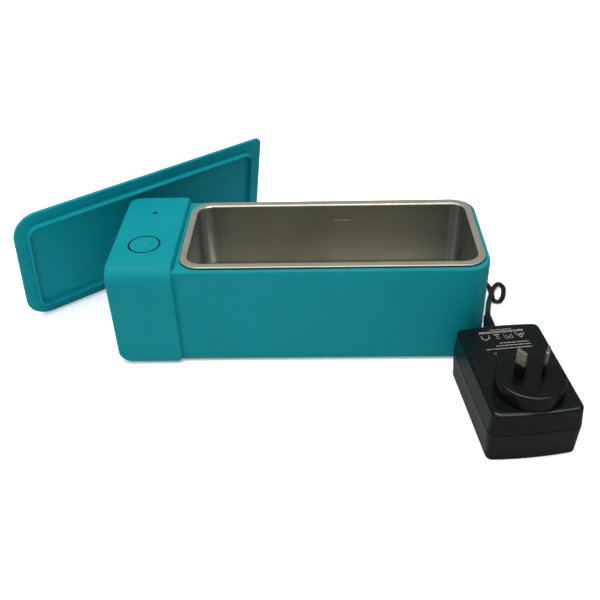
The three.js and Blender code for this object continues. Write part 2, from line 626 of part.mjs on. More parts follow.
function plugHead() {
  const r = HEAD.radius;
  const inner = HEAD.spigotRadius;
  const profile = [
    [0, CASE.top - 3.5], [inner, CASE.top - 3.5], [inner, HEAD_Z], [r, HEAD_Z],
    [r, HEAD_TOP - 1.4], [r - 0.8, HEAD_TOP - 0.2], [r - 1.5, HEAD_TOP], [0, HEAD_TOP],
  ];
  let disc = turned(profile, 0, HEAD.y, 40);
  for (const side of [-1, 1]) {
    const slot = pinBar(side, PIN.width + GAP, PIN.thickness + GAP, HEAD_Z - 1.5, HEAD_TOP + 1);
    disc = cut(disc, slot);
  }
  return disc;
}
add('plug_head_disc', plugHead(), blackPlastic(), adapter);

const SLEEVE_TOP = HEAD_TOP + PIN.sleeve;
const METAL = { width: 5.3, thickness: 0.9 };
[['active', -1], ['neutral', 1]].forEach(([name, side]) => {
  const core = pinBar(side, METAL.width, METAL.thickness, HEAD_Z - 1.2, SLEEVE_TOP + 0.5);
  const tip = pinBar(side, PIN.width, PIN.thickness, SLEEVE_TOP + 0.15, HEAD_TOP + PIN.length);
  add(`${name}_pin`, join(core, tip), nickel(), adapter);
  const jacket = pinBar(side, PIN.width, PIN.thickness, HEAD_Z + 1, SLEEVE_TOP);
  const bore = pinBar(side, METAL.width + 0.2, METAL.thickness + 0.2, HEAD_Z, SLEEVE_TOP + 1);
  add(`${name}_pin_sleeve`, cut(jacket, bore), blackPlastic(), adapter);
});

// ---- low-voltage cord: from the adapter round one curl, then behind the housing -------------
const plugEnd = [JACK.x + 7 + GRIP.boot + 0.4, PLUG_FACE + GRIP.depth / 2, JACK.z];
const cordRoute = [
  [235.2, 20.6, 16], [236.3, 27, 14.6], [238.2, 35, 12], [241, 46.5, 8.2], [244.6, 58.5, 5],
  [248.2, 69.5, 2.7], [251.8, 77, 0.9], [255, 81, CORD_Z + 0.4], [257.3, 77.5, CORD_Z], [256.4, 70.5, CORD_Z],
  [254.3, 64, CORD_Z], [251.2, 59.8, CORD_Z], [248.2, 60.8, CORD_Z], [247.8, 69, CORD_Z],
  [247, 80, CORD_Z], [240, 92, CORD_Z], [225, 99, CORD_Z], [180, 103, CORD_Z], [130, 103, CORD_Z],
  [95, 101.5, CORD_Z], [82, 100, 0.2], [70, 98, 3.6], [60, 96, 9], plugEnd,
];
add('dc_cable', wire(cordRoute, CORD_RADIUS, 110), rubber());

// ---- origin under the middle of the whole set ----------------------------------------------
set.updateMatrixWorld(true);
const bounds = new THREE.Box3().setFromObject(set, true);
const centre = bounds.getCenter(new THREE.Vector3());
set.position.set(-centre.x, -centre.y, -bounds.min.z);

export default set;
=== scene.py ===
"""Looks of the ultrasonic cleaner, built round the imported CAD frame. Blender works in metres."""

import math

import bpy
import bmesh
from mathutils import Matrix, Vector


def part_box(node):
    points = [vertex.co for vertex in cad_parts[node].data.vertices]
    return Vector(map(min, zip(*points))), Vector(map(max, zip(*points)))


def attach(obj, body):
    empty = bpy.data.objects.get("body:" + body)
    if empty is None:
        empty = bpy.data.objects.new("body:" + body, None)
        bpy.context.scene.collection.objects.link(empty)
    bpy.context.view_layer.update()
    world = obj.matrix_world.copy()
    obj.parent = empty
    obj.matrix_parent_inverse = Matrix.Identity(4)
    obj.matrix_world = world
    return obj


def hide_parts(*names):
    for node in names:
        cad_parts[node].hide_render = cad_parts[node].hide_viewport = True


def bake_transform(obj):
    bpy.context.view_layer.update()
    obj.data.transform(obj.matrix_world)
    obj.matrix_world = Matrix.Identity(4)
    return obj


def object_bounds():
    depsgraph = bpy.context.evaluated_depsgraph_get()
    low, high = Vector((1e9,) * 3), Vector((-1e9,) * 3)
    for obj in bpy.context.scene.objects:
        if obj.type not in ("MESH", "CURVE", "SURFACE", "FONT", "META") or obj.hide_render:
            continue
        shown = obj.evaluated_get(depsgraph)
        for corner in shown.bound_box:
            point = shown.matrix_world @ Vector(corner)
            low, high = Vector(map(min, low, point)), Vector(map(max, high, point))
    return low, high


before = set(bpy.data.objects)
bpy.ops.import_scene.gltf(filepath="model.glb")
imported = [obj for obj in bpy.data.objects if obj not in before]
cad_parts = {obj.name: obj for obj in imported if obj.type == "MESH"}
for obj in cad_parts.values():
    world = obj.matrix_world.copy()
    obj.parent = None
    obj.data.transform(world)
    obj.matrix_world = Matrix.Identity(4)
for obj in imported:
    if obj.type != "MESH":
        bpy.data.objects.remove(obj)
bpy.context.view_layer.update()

MM = 0.001
WELD_REACH = 0.001 * MM  # points nearer than this become one
SHARPEST = 0.05  # least corner radius of an outline, in millimetres
AXIS_RADIUS = 0.001  # radius that stands for the axis of a turned solid

# ---- places taken from the frame -------------------------
# Lengths below are in millimetres in the cleaner's own frame: left end, tank front, case bottom.
POD_PROUD = 2.5
pod_low, pod_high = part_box("control_pod_cover")
ORIGIN = Vector((pod_low.x, pod_low.y + POD_PROUD * MM, pod_low.z))


def local_box(node):
    low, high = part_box(node)
    return (low - ORIGIN) / MM, (high - ORIGIN) / MM


def local_middle(node):
    low, high = local_box(node)
    return (low + high) / 2


def placed(points, place=None):
    """Millimetre points of a piece, moved by place if given, as metre points in the row frame."""
    moved = [place @ Vector(p) for p in points] if place else [Vector(p) for p in points]
    return [ORIGIN + p * MM for p in moved]


# ---- mesh helpers ----------------------------------------
def corner_arc(cx, cy, radius, start, steps):
    angles = [start + math.pi / 2 * i / steps for i in range(steps + 1)]
    return [(cx + radius * math.cos(a), cy + radius * math.sin(a)) for a in angles]


def rounded_rect(x0, y0, x1, y1, radii, steps=10):
    """Counter-clockwise outline; radii are lower right, upper right, upper left, lower left."""
    r = list(radii) if isinstance(radii, (list, tuple)) else [radii] * 4
    return (
        corner_arc(x1 - r[0], y0 + r[0], r[0], -math.pi / 2, steps)
        + corner_arc(x1 - r[1], y1 - r[1], r[1], 0, steps)
        + corner_arc(x0 + r[2], y1 - r[2], r[2], math.pi / 2, steps)
        + corner_arc(x0 + r[3], y0 + r[3], r[3], math.pi, steps)
    )


def circle(cx, cy, radius, sides):
    turns = [2 * math.pi * i / sides for i in range(sides)]
    return [(cx + radius * math.cos(a), cy + radius * math.sin(a)) for a in turns]


def level(outline, z):
    return [(x, y, z) for x, y in outline]


def quarter(steps):
    """(sine, 1 - cosine) pairs from 0 to 90 degrees, for fillets."""
    angles = [math.pi / 2 * i / steps for i in range(steps + 1)]
    return [(math.sin(a), 1 - math.cos(a)) for a in angles]


def skin(loops, ring=False):
    """Faces through loops of equal length; ring joins the last to the first, else both ends are capped."""
    count = len(loops[0])
    points = [p for loop in loops for p in loop]
    faces = []
    pairs = len(loops) if ring else len(loops) - 1
    for k in range(pairs):
        here, there = k * count, ((k + 1) % len(loops)) * count
        for i in range(count):
            j = (i + 1) % count
            faces.append((here + i, here + j, there + j, there + i))
    if not ring:
        last = (len(loops) - 1) * count
        faces.append(tuple(reversed(range(count))))
        faces.append(tuple(range(last, last + count)))
    return points, faces


def linked(name, data):
    """New object in the scene."""
    thing = bpy.data.objects.new(name, data)
    bpy.context.scene.collection.objects.link(thing)
    return thing


def mesh_object(name, points, faces, place=None):
    mesh = bpy.data.meshes.new(name)
    mesh.from_pydata(placed(points, place), [], faces)
    work = bmesh.new()
    work.from_mesh(mesh)
    bmesh.ops.remove_doubles(work, verts=work.verts, dist=WELD_REACH)
    bmesh.ops.recalc_face_normals(work, faces=work.faces)
    work.to_mesh(mesh)
    work.free()
    return linked(name, mesh)


def lofted(name, loops, ring=False, place=None):
    points, faces = skin(loops, ring)
    return mesh_object(name, points, faces, place)


def turned(name, profile, cx, cy, sides, place=None):
    """Solid of revolution about a vertical line; profile is [radius, z] and starts and ends on the axis."""
    loops = [level(circle(cx, cy, max(r, AXIS_RADIUS), sides), z) for r, z in profile]
    return lofted(name, loops, place=place)


def combine(piece, other, operation):
    """Applies a boolean with a throw-away object."""
    modifier = piece.modifiers.new("combine", "BOOLEAN")
    modifier.operation = operation
    modifier.solver = "EXACT"
    modifier.object = other
    bpy.context.view_layer.update()
    shown = piece.evaluated_get(bpy.context.evaluated_depsgraph_get())
    result = bpy.data.meshes.new_from_object(shown)
    piece.modifiers.clear()
    piece.data = result
    bpy.data.objects.remove(other)


def cut(piece, other):
    combine(piece, other, "DIFFERENCE")


def join(piece, other):
    combine(piece, other, "UNION")


def drum(radius, low, high, axis, a, b, sides=48, place=None):
    """Cylinder along y or z, for holes and bosses; a and b are its middle on the other two axes."""

    def point(u, v, along):
        return (u, along, v) if axis == "y" else (u, v, along)

    loops = [[point(u, v, along) for u, v in circle(a, b, radius, sides)] for along in (low, high)]
    return lofted("tool", loops, place=place)


def slab(outline, low, high, place=None):
    return lofted("tool", [level(outline, low), level(outline, high)], place=place)


def box_tool(x0, y0, z0, x1, y1, z1, place=None):
    return slab([(x0, y0), (x1, y0), (x1, y1), (x0, y1)], z0, z1, place)


def rect_plan(x0, y0, x1, y1, radii, steps=10):
    """Plan outline as a function of how far it is drawn in; negative lets it out."""
    r = list(radii) if isinstance(radii, (list, tuple)) else [radii] * 4

    def plan(inset):
        shrunk = [max(radius - inset, SHARPEST) for radius in r]
        return rounded_rect(x0 + inset, y0 + inset, x1 - inset, y1 - inset, shrunk, steps)

    return plan


def stack(plan, z0, z1, bottom, top, steps=6):
    """Loops of a solid with its bottom and top rims rounded by those radii."""
    below = [level(plan(bottom * (1 - s)), z0 + bottom * c) for s, c in quarter(steps)]
    above = [level(plan(top * c), z1 - top + top * s) for s, c in quarter(steps)]
    return below + above


def merge(name, pieces):
    """One object out of several."""
    work = bmesh.new()
    for piece in pieces:
        work.from_mesh(piece.data)
        bpy.data.objects.remove(piece)
    mesh = bpy.data.meshes.new(name)
    work.to_mesh(mesh)
    work.free()
    return linked(name, mesh)


def finish_mesh(piece, smooth_angle=38, weighted=True):
    """Smooth shading, with edges sharper than the angle in degrees kept sharp."""
    mesh = piece.data
    for polygon in mesh.polygons:
        polygon.use_smooth = True
    mesh.set_sharp_from_angle(angle=math.radians(smooth_angle))
    if weighted:
        modifier = piece.modifiers.new("weighted", "WEIGHTED_NORMAL")
        modifier.keep_sharp = True


def settle(piece, material, body, *nodes, slot=None, smooth_angle=38):
    """Shades a new piece, gives it its material and body, and lets it stand for CAD nodes."""
    finish_mesh(piece, smooth_angle)
    piece.data.materials.clear()
    piece.data.materials.append(material)
    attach(piece, body)
    if nodes:
        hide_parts(*nodes)


# ---- materials -------------------------------------------
def linear(red, green, blue):
    """Scene colour of a display colour given as 0-255."""
    scaled = [c / 255 for c in (red, green, blue)]
    return tuple(c / 12.92 if c <= 0.04045 else ((c + 0.055) / 1.055) ** 2.4 for c in scaled) + (1.0,)


class Graph:
    """Short calls for the nodes of one material or world."""

    def __init__(self, tree):
        self.nodes = tree.nodes
        self.links = tree.links

    def coordinate(self, kind):
        return self.nodes.new("ShaderNodeTexCoord").outputs[kind]

    def span(self, socket, low, high, source=(0.3, 0.7)):
        """Maps a pattern to a range of plain values; source is the range it comes in, and ends are kept."""
        mapped = self.nodes.new("ShaderNodeMapRange")
        mapped.inputs["From Min"].default_value = source[0]
        mapped.inputs["From Max"].default_value = source[1]
        mapped.inputs["To Min"].default_value = low
        mapped.inputs["To Max"].default_value = high
        self.links.new(socket, mapped.inputs["Value"])
        return mapped.outputs["Result"]

    def maths(self, operation, *values):
        """Result of a sum or the like; each value is a socket or a plain number."""
        node = self.nodes.new("ShaderNodeMath")
        node.operation = operation
        for socket, value in zip(node.inputs, values):
            if isinstance(value, float):
                socket.default_value = value
            else:
                self.links.new(value, socket)
        return node.outputs["Value"]

    def blend_colour(self, factor, first, second):
        """Mix of two colours by a 0-1 socket; either may be a socket or a display colour."""
        node = self.nodes.new("ShaderNodeMix")
        node.data_type = "RGBA"
        self.links.new(factor, node.inputs["Factor"])
        for name, value in (("A", first), ("B", second)):
            socket = next(s for s in node.inputs if s.name == name and s.type == "RGBA")
            if isinstance(value, tuple):
                socket.default_value = linear(*value)
            else:
                self.links.new(value, socket)
        return next(s for s in node.outputs if s.type == "RGBA")

    def split(self, socket, axis):
        """One coordinate of a direction or place."""
        parts = self.nodes.new("ShaderNodeSeparateXYZ")
        self.links.new(socket, parts.inputs["Vector"])
        return parts.outputs[axis]


class Finish(Graph):
    """A Principled material. Patterns are in metres, in the shared frame."""

    def __init__(self, name, colour, roughness, metallic=0.0, specular=0.5):
        self.material = bpy.data.materials.new(name)
        self.material.use_nodes = True
        super().__init__(self.material.node_tree)
        self.main = self.nodes["Principled BSDF"]
        self.main.inputs["Base Color"].default_value = linear(*colour)
        self.main.inputs["Roughness"].default_value = roughness
        self.main.inputs["Metallic"].default_value = metallic
        self.main.inputs["Specular IOR Level"].default_value = specular
        self.material.diffuse_color = linear(*colour)
        self.place = self.coordinate("Object")

    def feed(self, name, socket):
        self.links.new(socket, self.main.inputs[name])

    def noise(self, scale, detail, stretch=(1, 1, 1)):
        """Noise between 0 and 1; scale is cells per metre along each axis, times stretch."""
        mapping = self.nodes.new("ShaderNodeMapping")
        mapping.inputs["Scale"].default_value = stretch
        self.links.new(self.place, mapping.inputs["Vector"])
        texture = self.nodes.new("ShaderNodeTexNoise")
        texture.inputs["Scale"].default_value = scale
        texture.inputs["Detail"].default_value = detail
        self.links.new(mapping.outputs["Vector"], texture.inputs["Vector"])
        return texture.outputs["Fac"]

    def bump(self, height, depth):
        """Surface relief; depth is in metres."""
        node = self.nodes.new("ShaderNodeBump")
        node.inputs["Distance"].default_value = depth
        self.links.new(height, node.inputs["Height"])
        self.feed("Normal", node.outputs["Normal"])


def moulded(name, colour, darker, roughness, grain=2600, depth=0.004 * MM, specular=0.4):
    """Moulded plastic: faint large blotches, a fine spark-eroded grain and an uneven sheen."""
    look = Finish(name, colour, roughness, specular=specular)
    blotch = look.span(look.noise(22, 2), 0, 1)
    look.feed("Base Color", look.blend_colour(blotch, colour, darker))
    look.feed("Roughness", look.span(look.noise(160, 4), roughness - 0.05, roughness + 0.05))
    look.bump(look.maths("ADD", look.noise(grain, 2), look.noise(grain / 4, 2)), depth)
    return look.material


teal = moulded("teal_plastic_look", (6, 129, 137), (5, 125, 133), 0.55, specular=0.08)
# Near-black teal: painted shade for the walls of narrow gaps.
painted_gap_shade = moulded("painted_gap_shade_look", (1, 14, 16), (1, 10, 12), 0.8, specular=0.02)
# Lighter copy of the teal plastic for the lid: painted light, making up for its face turned down and away
# from the lamps.
teal_lid_lightened = moulded("teal_lid_painted_light_look", (3, 138, 149), (3, 133, 144), 0.55, specular=0.07)
teal_base = moulded("teal_base_look", (6, 94, 101), (5, 88, 95), 0.62, specular=0.12)
black_case = moulded("adapter_plastic_look", (10, 16, 16), (8, 13, 13), 0.24, 1900, 0.001 * MM, 0.33)
black_head = moulded("plug_head_look", (7, 11, 11), (5, 8, 8), 0.28, 2200, 0.001 * MM, 0.3)
rubber_seal = moulded("rubber_look", (24, 25, 26), (18, 19, 20), 0.75, 1500, 0.03 * MM, 0.25)
cord_skin = moulded("cord_look", (17, 18, 19), (12, 13, 14), 0.36, 1200, 0.01 * MM, 0.35)
component_black = moulded("component_look", (30, 31, 33), (22, 23, 25), 0.5, 3000, 0.02 * MM)
ferrite = moulded("ferrite_look", (62, 61, 60), (44, 44, 45), 0.65, 2000, 0.06 * MM, 0.25)
nylon = moulded("nylon_look", (226, 220, 202), (216, 209, 188), 0.45)
ceramic = moulded("ceramic_look", (205, 198, 182), (190, 182, 166), 0.6, 2400, 0.03 * MM)
ribbon_grey = moulded("ribbon_look", (150, 152, 154), (128, 131, 134), 0.5)
wire_red = moulded("red_wire_look", (160, 30, 26), (138, 22, 20), 0.4)
wire_black = moulded("black_wire_look", (26, 27, 28), (18, 18, 19), 0.4)
print_grey = moulded("print_look", (176, 176, 164), (132, 132, 122), 0.6)
glyph_look = moulded("glyph_look", (62, 134, 138), (54, 128, 134), 0.5)


def brushed(name, colour, darker, roughness, stretch, depth, blotch_scale):
    """Metal with fine parallel scratches, soft stains and an uneven polish."""
    look = Finish(name, colour, roughness, metallic=1.0)
    streaks = look.noise(420, 3, stretch)
    stains = look.span(look.noise(blotch_scale, 5), 0, 1)
    look.feed("Base Color", look.blend_colour(stains, colour, darker))
    polish = look.maths("MULTIPLY", streaks, look.noise(60, 3))
    look.feed("Roughness", look.span(polish, roughness - 0.07, roughness + 0.07, (0.12, 0.4)))
    look.bump(streaks, depth)
    return look.material


def satin_rim():
    """Rolled rim polished to an even warm grey."""
    look = Finish("rim_steel_look", (168, 164, 147), 0.36, metallic=0.55)
    stains = look.span(look.noise(60, 4), 0, 1)
    look.feed("Base Color", look.blend_colour(stains, (168, 164, 147), (160, 157, 140)))
    look.feed("Roughness", look.span(look.noise(420, 3, (1, 0.08, 1)), 0.28, 0.42))
    look.bump(look.noise(900, 1), 0.0002 * MM)
    return look.material


def drawn_basin():
    """Deep-drawn sheet: warm and satin along the middle; at both ends a cooler colour in fine vertical light
    and dark streaks, a painted reflection of the surroundings in the curved end walls.
    """
    low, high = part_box("tank_basin")
    middle, half = (low.x + high.x) / 2, (high.x - low.x) / 2
    look = Finish("basin_steel_look", (170, 166, 152), 0.34, metallic=1.0)
    away = look.maths("ABSOLUTE", look.maths("SUBTRACT", look.split(look.place, "X"), middle))
    ends = look.span(away, 0, 1, (half - 16 * MM, half - 7 * MM))
    stains = look.span(look.noise(16, 5), 0, 1)
    streaks = look.span(look.noise(420, 1, (1, 1, 0.01)), 0, 1, (0.35, 0.65))
    warm = look.blend_colour(stains, (173, 172, 159), (151, 150, 136))
    # Painted reflection: the cooler colour in fine vertical light and dark streaks at both ends stands in for
    # the surroundings mirrored in the curved end walls.
    drawn = look.blend_colour(streaks, (144, 150, 151), (176, 182, 182))
    look.feed("Base Color", look.blend_colour(ends, warm, drawn))
    look.feed("Roughness", look.span(ends, 0.36, 0.28, (0, 1)))
    look.bump(look.noise(500, 2, (1, 1, 0.02)), 0.0004 * MM)
    return look.material


basin_steel = drawn_basin()
rim_steel = satin_rim()
nickel = brushed("nickel_look", (188, 180, 162), (168, 160, 142), 0.3, (1, 1, 0.1), 0.01 * MM, 90)
screw_steel = brushed("screw_look", (150, 152, 155), (120, 122, 126), 0.34, (1, 1, 0.2), 0.02 * MM, 200)
aluminium = brushed("aluminium_look", (198, 200, 204), (176, 179, 184), 0.4, (1, 0.05, 1), 0.02 * MM, 60)


def winding_look():
    """Enamelled copper wire in close turns."""
    look = Finish("winding_look", (176, 96, 48), 0.3, metallic=0.9)
    turns = look.nodes.new("ShaderNodeTexWave")
    turns.inputs["Scale"].default_value = 260
    turns.inputs["Distortion"].default_value = 0.6
    look.links.new(look.place, turns.inputs["Vector"])
    look.feed("Base Color", look.blend_colour(turns.outputs["Fac"], (120, 58, 26), (196, 112, 58)))
    look.bump(turns.outputs["Fac"], 0.2 * MM)
    return look.material


def board_look():
    """Solder mask with faint tracks and a fine glass weave."""
    look = Finish("board_look", (22, 92, 52), 0.35)
    tracks = look.nodes.new("ShaderNodeTexBrick")
    tracks.inputs["Scale"].default_value = 130
    tracks.inputs["Mortar Size"].default_value = 0.06
    look.links.new(look.place, tracks.inputs["Vector"])
    tint = look.span(tracks.outputs["Fac"], 0, 0.75, (0, 1))
    look.feed("Base Color", look.blend_colour(tint, (20, 86, 48), (58, 128, 74)))
    look.bump(look.maths("ADD", look.noise(1800, 1), tracks.outputs["Fac"]), 0.03 * MM)
    return look.material


def sleeve_look(name, colour, band):
    """Capacitor sleeve: a glossy shrink film with a paler stripe of noise along it."""
    look = Finish(name, colour, 0.3)
    stripe = look.span(look.noise(70, 1, (1, 1, 0.02)), 0, 1, (0.56, 0.6))
    look.feed("Base Color", look.blend_colour(stripe, colour, band))
    look.bump(look.noise(400, 2), 0.02 * MM)
    return look.material


def lens_look(name, colour, transmission, roughness):
    """Clear or tinted moulded lens with a slightly uneven surface."""
    look = Finish(name, colour, roughness)
    look.main.inputs["Transmission Weight"].default_value = transmission
    look.feed("Roughness", look.span(look.noise(900, 2), roughness - 0.03, roughness + 0.05))
    look.bump(look.noise(1200, 1), 0.01 * MM)
    return look.material


def pin_look():
    """Flat pin stamped from nickel-plated strip: darker worn patches and fine stamping marks."""
    look = Finish("pin_look", (176, 168, 148), 0.33, metallic=1.0)
    worn = look.span(look.noise(520, 5), 0, 1)
    look.feed("Base Color", look.blend_colour(worn, (186, 178, 158), (138, 128, 108)))
    look.feed("Roughness", look.span(look.noise(900, 3), 0.26, 0.44))
    look.bump(look.noise(1500, 3), 0.02 * MM)
    return look.material


winding = winding_look()
circuit_board = board_look()
capacitor_blue = sleeve_look("capacitor_look", (26, 40, 78), (150, 158, 172))
capacitor_violet = sleeve_look("adapter_capacitor_look", (44, 36, 66), (150, 146, 160))
led_lens = lens_look("led_look", (222, 240, 244), 0.7, 0.12)
# Near-black light pipe that lets no light through: painted shade of the hole it sits in.
pipe_painted_shade = lens_look("light_pipe_painted_shade_look", (5, 12, 13), 0.0, 0.25)
pin_plate = pin_look()


# ---- tank housing ----------------------------------------
WALL = 2.2
SHEET = 0.8
END_RADIUS = 14
house_low, house_high = local_box("tank_housing")
rim_low, rim_high = local_box("tank_basin")
pod_low, pod_high = local_box("control_pod_cover")
JACK_X, _, JACK_Z = local_middle("dc_jack")
DECK_Z = house_high.z
LENGTH, DEPTH = house_high.x, house_high.y
RIM_WIDTH = {"left": 4.8, "front": 5.4, "right": 4.7, "back": 5.7}
BOWL = (rim_low.x + RIM_WIDTH["left"], rim_low.y + RIM_WIDTH["front"],
        rim_high.x - RIM_WIDTH["right"], rim_high.y - RIM_WIDTH["back"])
RIM_CORNER = 13
BOWL_CORNER = 9
GAP = 0.3  # usual play between two moulded parts
BEYOND = 1  # how far a cutting tool runs past a surface
BOSS_X = (50, 200)
BOSS_INSET = 5.5
BOSS = {"radius": 3.6, "low": 2.9, "high": 14}
SCREW_HOLE = {"radius": 1.35, "low": 1.9, "high": 12.5}
BULKHEAD = {"x0": 40.6, "x1": 42.6, "low": 12}
POD_WELL = (6.5, 6, 35.5, 80)
BOTTOM_LEFT = 8.5


def build_housing():
    """Open box with a deck, a bulkhead before the tank, four screw bosses and a hole for the socket."""
    left = house_low.x
    plan = rect_plan(left, 0, LENGTH, DEPTH, [END_RADIUS, END_RADIUS, 3, 3], 14)
    shell = lofted("tank_housing_shell", stack(plan, 0, DECK_Z, 0.5, 1.4))
    inner = [END_RADIUS - WALL, END_RADIUS - WALL, 1, 1]
    hollow = rounded_rect(left + WALL, WALL, LENGTH - WALL, DEPTH - WALL, inner)
    cut(shell, slab(hollow, -BEYOND, DECK_Z - WALL))
    below, above = DECK_Z - 8, DECK_Z + 4
    slack = SHEET + 0.6
    cut(shell, slab(rect_plan(*BOWL, BOWL_CORNER)(-slack), below, above))
    cut(shell, slab(rounded_rect(*POD_WELL, 3), below, above))
    sunk = 1
    join(shell, box_tool(BULKHEAD["x0"], sunk, BULKHEAD["low"], BULKHEAD["x1"], DEPTH - sunk, DECK_Z - sunk))
    for x in BOSS_X:
        for y in (BOSS_INSET, DEPTH - BOSS_INSET):
            join(shell, drum(BOSS["radius"], BOSS["low"], BOSS["high"], "z", x, y, 32))
            cut(shell, drum(SCREW_HOLE["radius"], SCREW_HOLE["low"], SCREW_HOLE["high"], "z", x, y, 24))
    cut(shell, drum(5.5, DEPTH - WALL - 2, DEPTH + BEYOND, "y", JACK_X, JACK_Z))
    side = BOTTOM_LEFT - 0.1
    corner = box_tool(-BEYOND, -BEYOND, -BEYOND, side, DEPTH + BEYOND, side)
    cut(corner, drum(BOTTOM_LEFT, -2, DEPTH + 2, "y", side, side, 96))
    cut(shell, corner)
    settle(shell, teal, "cleaner", "tank_housing", slot="teal_plastic")


build_housing()


# ---- control pod -----------------------------------------
POD_FRONT_TOP = 9  # radius along the front top edge
POD_BACK_TOP = 1.3
POD_END = 1.3  # easing of the left rim
POD_FOOT = 0.6
POD_TOE = 2.6  # radius of the lower right edge
POD_SLOPE = 1.3  # length of the slope at the right end
SHOULDER = 2.0
RING_GAP = 0.95
button_low, button_high = local_box("power_button")
BUTTON_X, BUTTON_Y, _ = local_middle("power_button")
BUTTON_R = 9.15
PIPE_X, PIPE_Y, _ = local_middle("light_pipe")


def drawn_back(radius, distance):
    """How far a rounded edge has drawn back at a distance from its end."""
    return radius - math.sqrt(max(radius ** 2 - max(radius - distance, 0) ** 2, 0))


def paint_gap_shade(piece, inside):
    """Gives the faces whose middle passes the test a near-black painted shade, standing in for the shadow in
    a narrow gap.
    """
    piece.data.materials.append(painted_gap_shade)
    for polygon in piece.data.polygons:
        if inside(polygon.center):
            polygon.material_index = 1


def pod_loops():
    """Side profile at stations along the pod."""
    length = pod_high.x
    left = [POD_END * c for _, c in quarter(8)] + [BOTTOM_LEFT * c for _, c in quarter(22)]
    right = [length - POD_TOE * c for _, c in quarter(8)]

    def station(x, inset, rise):
        edges = (POD_FOOT, POD_BACK_TOP, POD_FRONT_TOP, POD_FOOT)
        radii = [max(r - inset, SHARPEST) for r in edges]
        y0, y1, top = pod_low.y + inset, pod_high.y - inset, pod_high.z - inset
        return [(x, y, z) for y, z in rounded_rect(y0, rise, y1, top, radii, 16)]

    def rise(x):
        return max(drawn_back(BOTTOM_LEFT, x), drawn_back(POD_TOE, length - x))

    spots = sorted({round(x, 4) for x in left + right})
    loops = [station(x, drawn_back(POD_END, x), rise(x)) for x in spots]
    slope = ((0.1, 0.06), (0.2, 0.2), (POD_SLOPE, POD_PROUD - GAP - 0.15))
    return loops + [station(length + x, inset, POD_TOE) for x, inset in slope]


def build_pod():
    """The left rim is eased and the lower left edge well rounded."""
    y1, top, length = pod_high.y, pod_high.z, pod_high.x
    cap = lofted("control_pod_shell", pod_loops())
    shoulder = SHOULDER + GAP
    core = rounded_rect(-GAP, -BEYOND, DEPTH + GAP, DECK_Z + GAP, [0.5, shoulder, shoulder, 0.5])
    span = (house_low.x - GAP, length + POD_SLOPE + BEYOND)
    cut(cap, lofted("tool", [[(x, y, z) for y, z in core] for x in span]))
    low, high = DECK_Z - BEYOND, top + BEYOND
    cut(cap, drum(BUTTON_R + RING_GAP, low, high, "z", BUTTON_X, BUTTON_Y, 96))
    cut(cap, drum(1.6, low, high, "z", PIPE_X, PIPE_Y, 32))
    cut(cap, drum(5.4, DEPTH - BEYOND, y1 + BEYOND, "y", JACK_X, JACK_Z, 48))
    settle(cap, teal, "cleaner", "control_pod_cover", slot="teal_plastic")
    # Painted shade: the walls of the ring gap round the button get the near-black gap material.
    middle = ORIGIN + Vector((BUTTON_X, BUTTON_Y, top)) * MM
    reach = (BUTTON_R + RING_GAP + 0.02) * MM
    paint_gap_shade(cap, lambda spot: (spot - middle).to_2d().length < reach and spot.z < middle.z - 0.1 * MM)


build_pod()


def build_button():
    """Flush cap with a shallow dish, a flange that keeps it in and a stem down to the switch."""
    top, base = button_high.z, button_low.z
    ledge = base + 3.8
    flange_r, flange_z, stem_r = BUTTON_R + 1.4, ledge - 1.6, 2.2
    ease, dip = 0.3, 0.3
    dish_r = BUTTON_R - 1.6
    profile = [(0, base), (stem_r, base), (stem_r, flange_z), (flange_r, flange_z), (flange_r, ledge),
               (BUTTON_R, ledge), (BUTTON_R, top - 0.4)]
    profile += [(BUTTON_R - ease * c, top - ease + ease * s) for s, c in quarter(5)]
    profile += [(dish_r - 6 * t, top - dip * math.sin(math.pi / 2 * t)) for t in (0, 0.15, 0.3, 0.5, 0.75, 1)]
    cap = turned("power_button_cap", profile + [(0, top - 0.31)], BUTTON_X, BUTTON_Y, 96)
    settle(cap, teal, "power_button", "power_button", slot="teal_plastic")
    # Painted shade: every face of the button lower than just under its top gets the near-black gap material.
    paint_gap_shade(cap, lambda spot: spot.z < ORIGIN.z + (top - 0.45) * MM)


build_button()


def ribbon_path(name, points, width, z, height=0.03, place=None):
    """Flat stroke of even width along points at a height."""
    left, right = [], []
    for i, (x, y) in enumerate(points):
        ax, ay = points[max(i - 1, 0)]
        bx, by = points[min(i + 1, len(points) - 1)]
        span = math.hypot(bx - ax, by - ay)
        nx, ny = -(by - ay) / span * width / 2, (bx - ax) / span * width / 2
        left.append((x + nx, y + ny))
        right.append((x - nx, y - ny))
    corners, faces = [], []
    for (lx, ly), (rx, ry) in zip(left, right):
        corners += [(lx, ly, z), (rx, ry, z), (rx, ry, z + height), (lx, ly, z + height)]
    for i in range(len(points) - 1):
        a, b = 4 * i, 4 * i + 4
        faces += [(a + k, a + (k + 1) % 4, b + (k + 1) % 4, b + k) for k in range(4)]
    last = 4 * (len(points) - 1)
    faces += [(3, 2, 1, 0), (last, last + 1, last + 2, last + 3)]
    return mesh_object(name, corners, faces, place)


def build_glyph():
    """Open ring with a short bar, printed faintly on the button."""
    z, radius, width = button_high.z - 0.31, 1.7, 0.42
    turns = [math.radians(a) for a in range(125, 416, 10)]
    arc = [(BUTTON_X + radius * math.cos(a), BUTTON_Y + radius * math.sin(a)) for a in turns]
    bar = [(BUTTON_X, BUTTON_Y + 0.5), (BUTTON_X, BUTTON_Y + 2.2)]
    strokes = [ribbon_path("stroke", points, width, z) for points in (arc, bar)]
    settle(merge("power_button_glyph", strokes), glyph_look, "power_button")


build_glyph()


# ---- basin and its seal ----------------------------------
FLOOR_FILLET = 6
RIM_BEND = 1.5
EDGE_BEND = 0.7


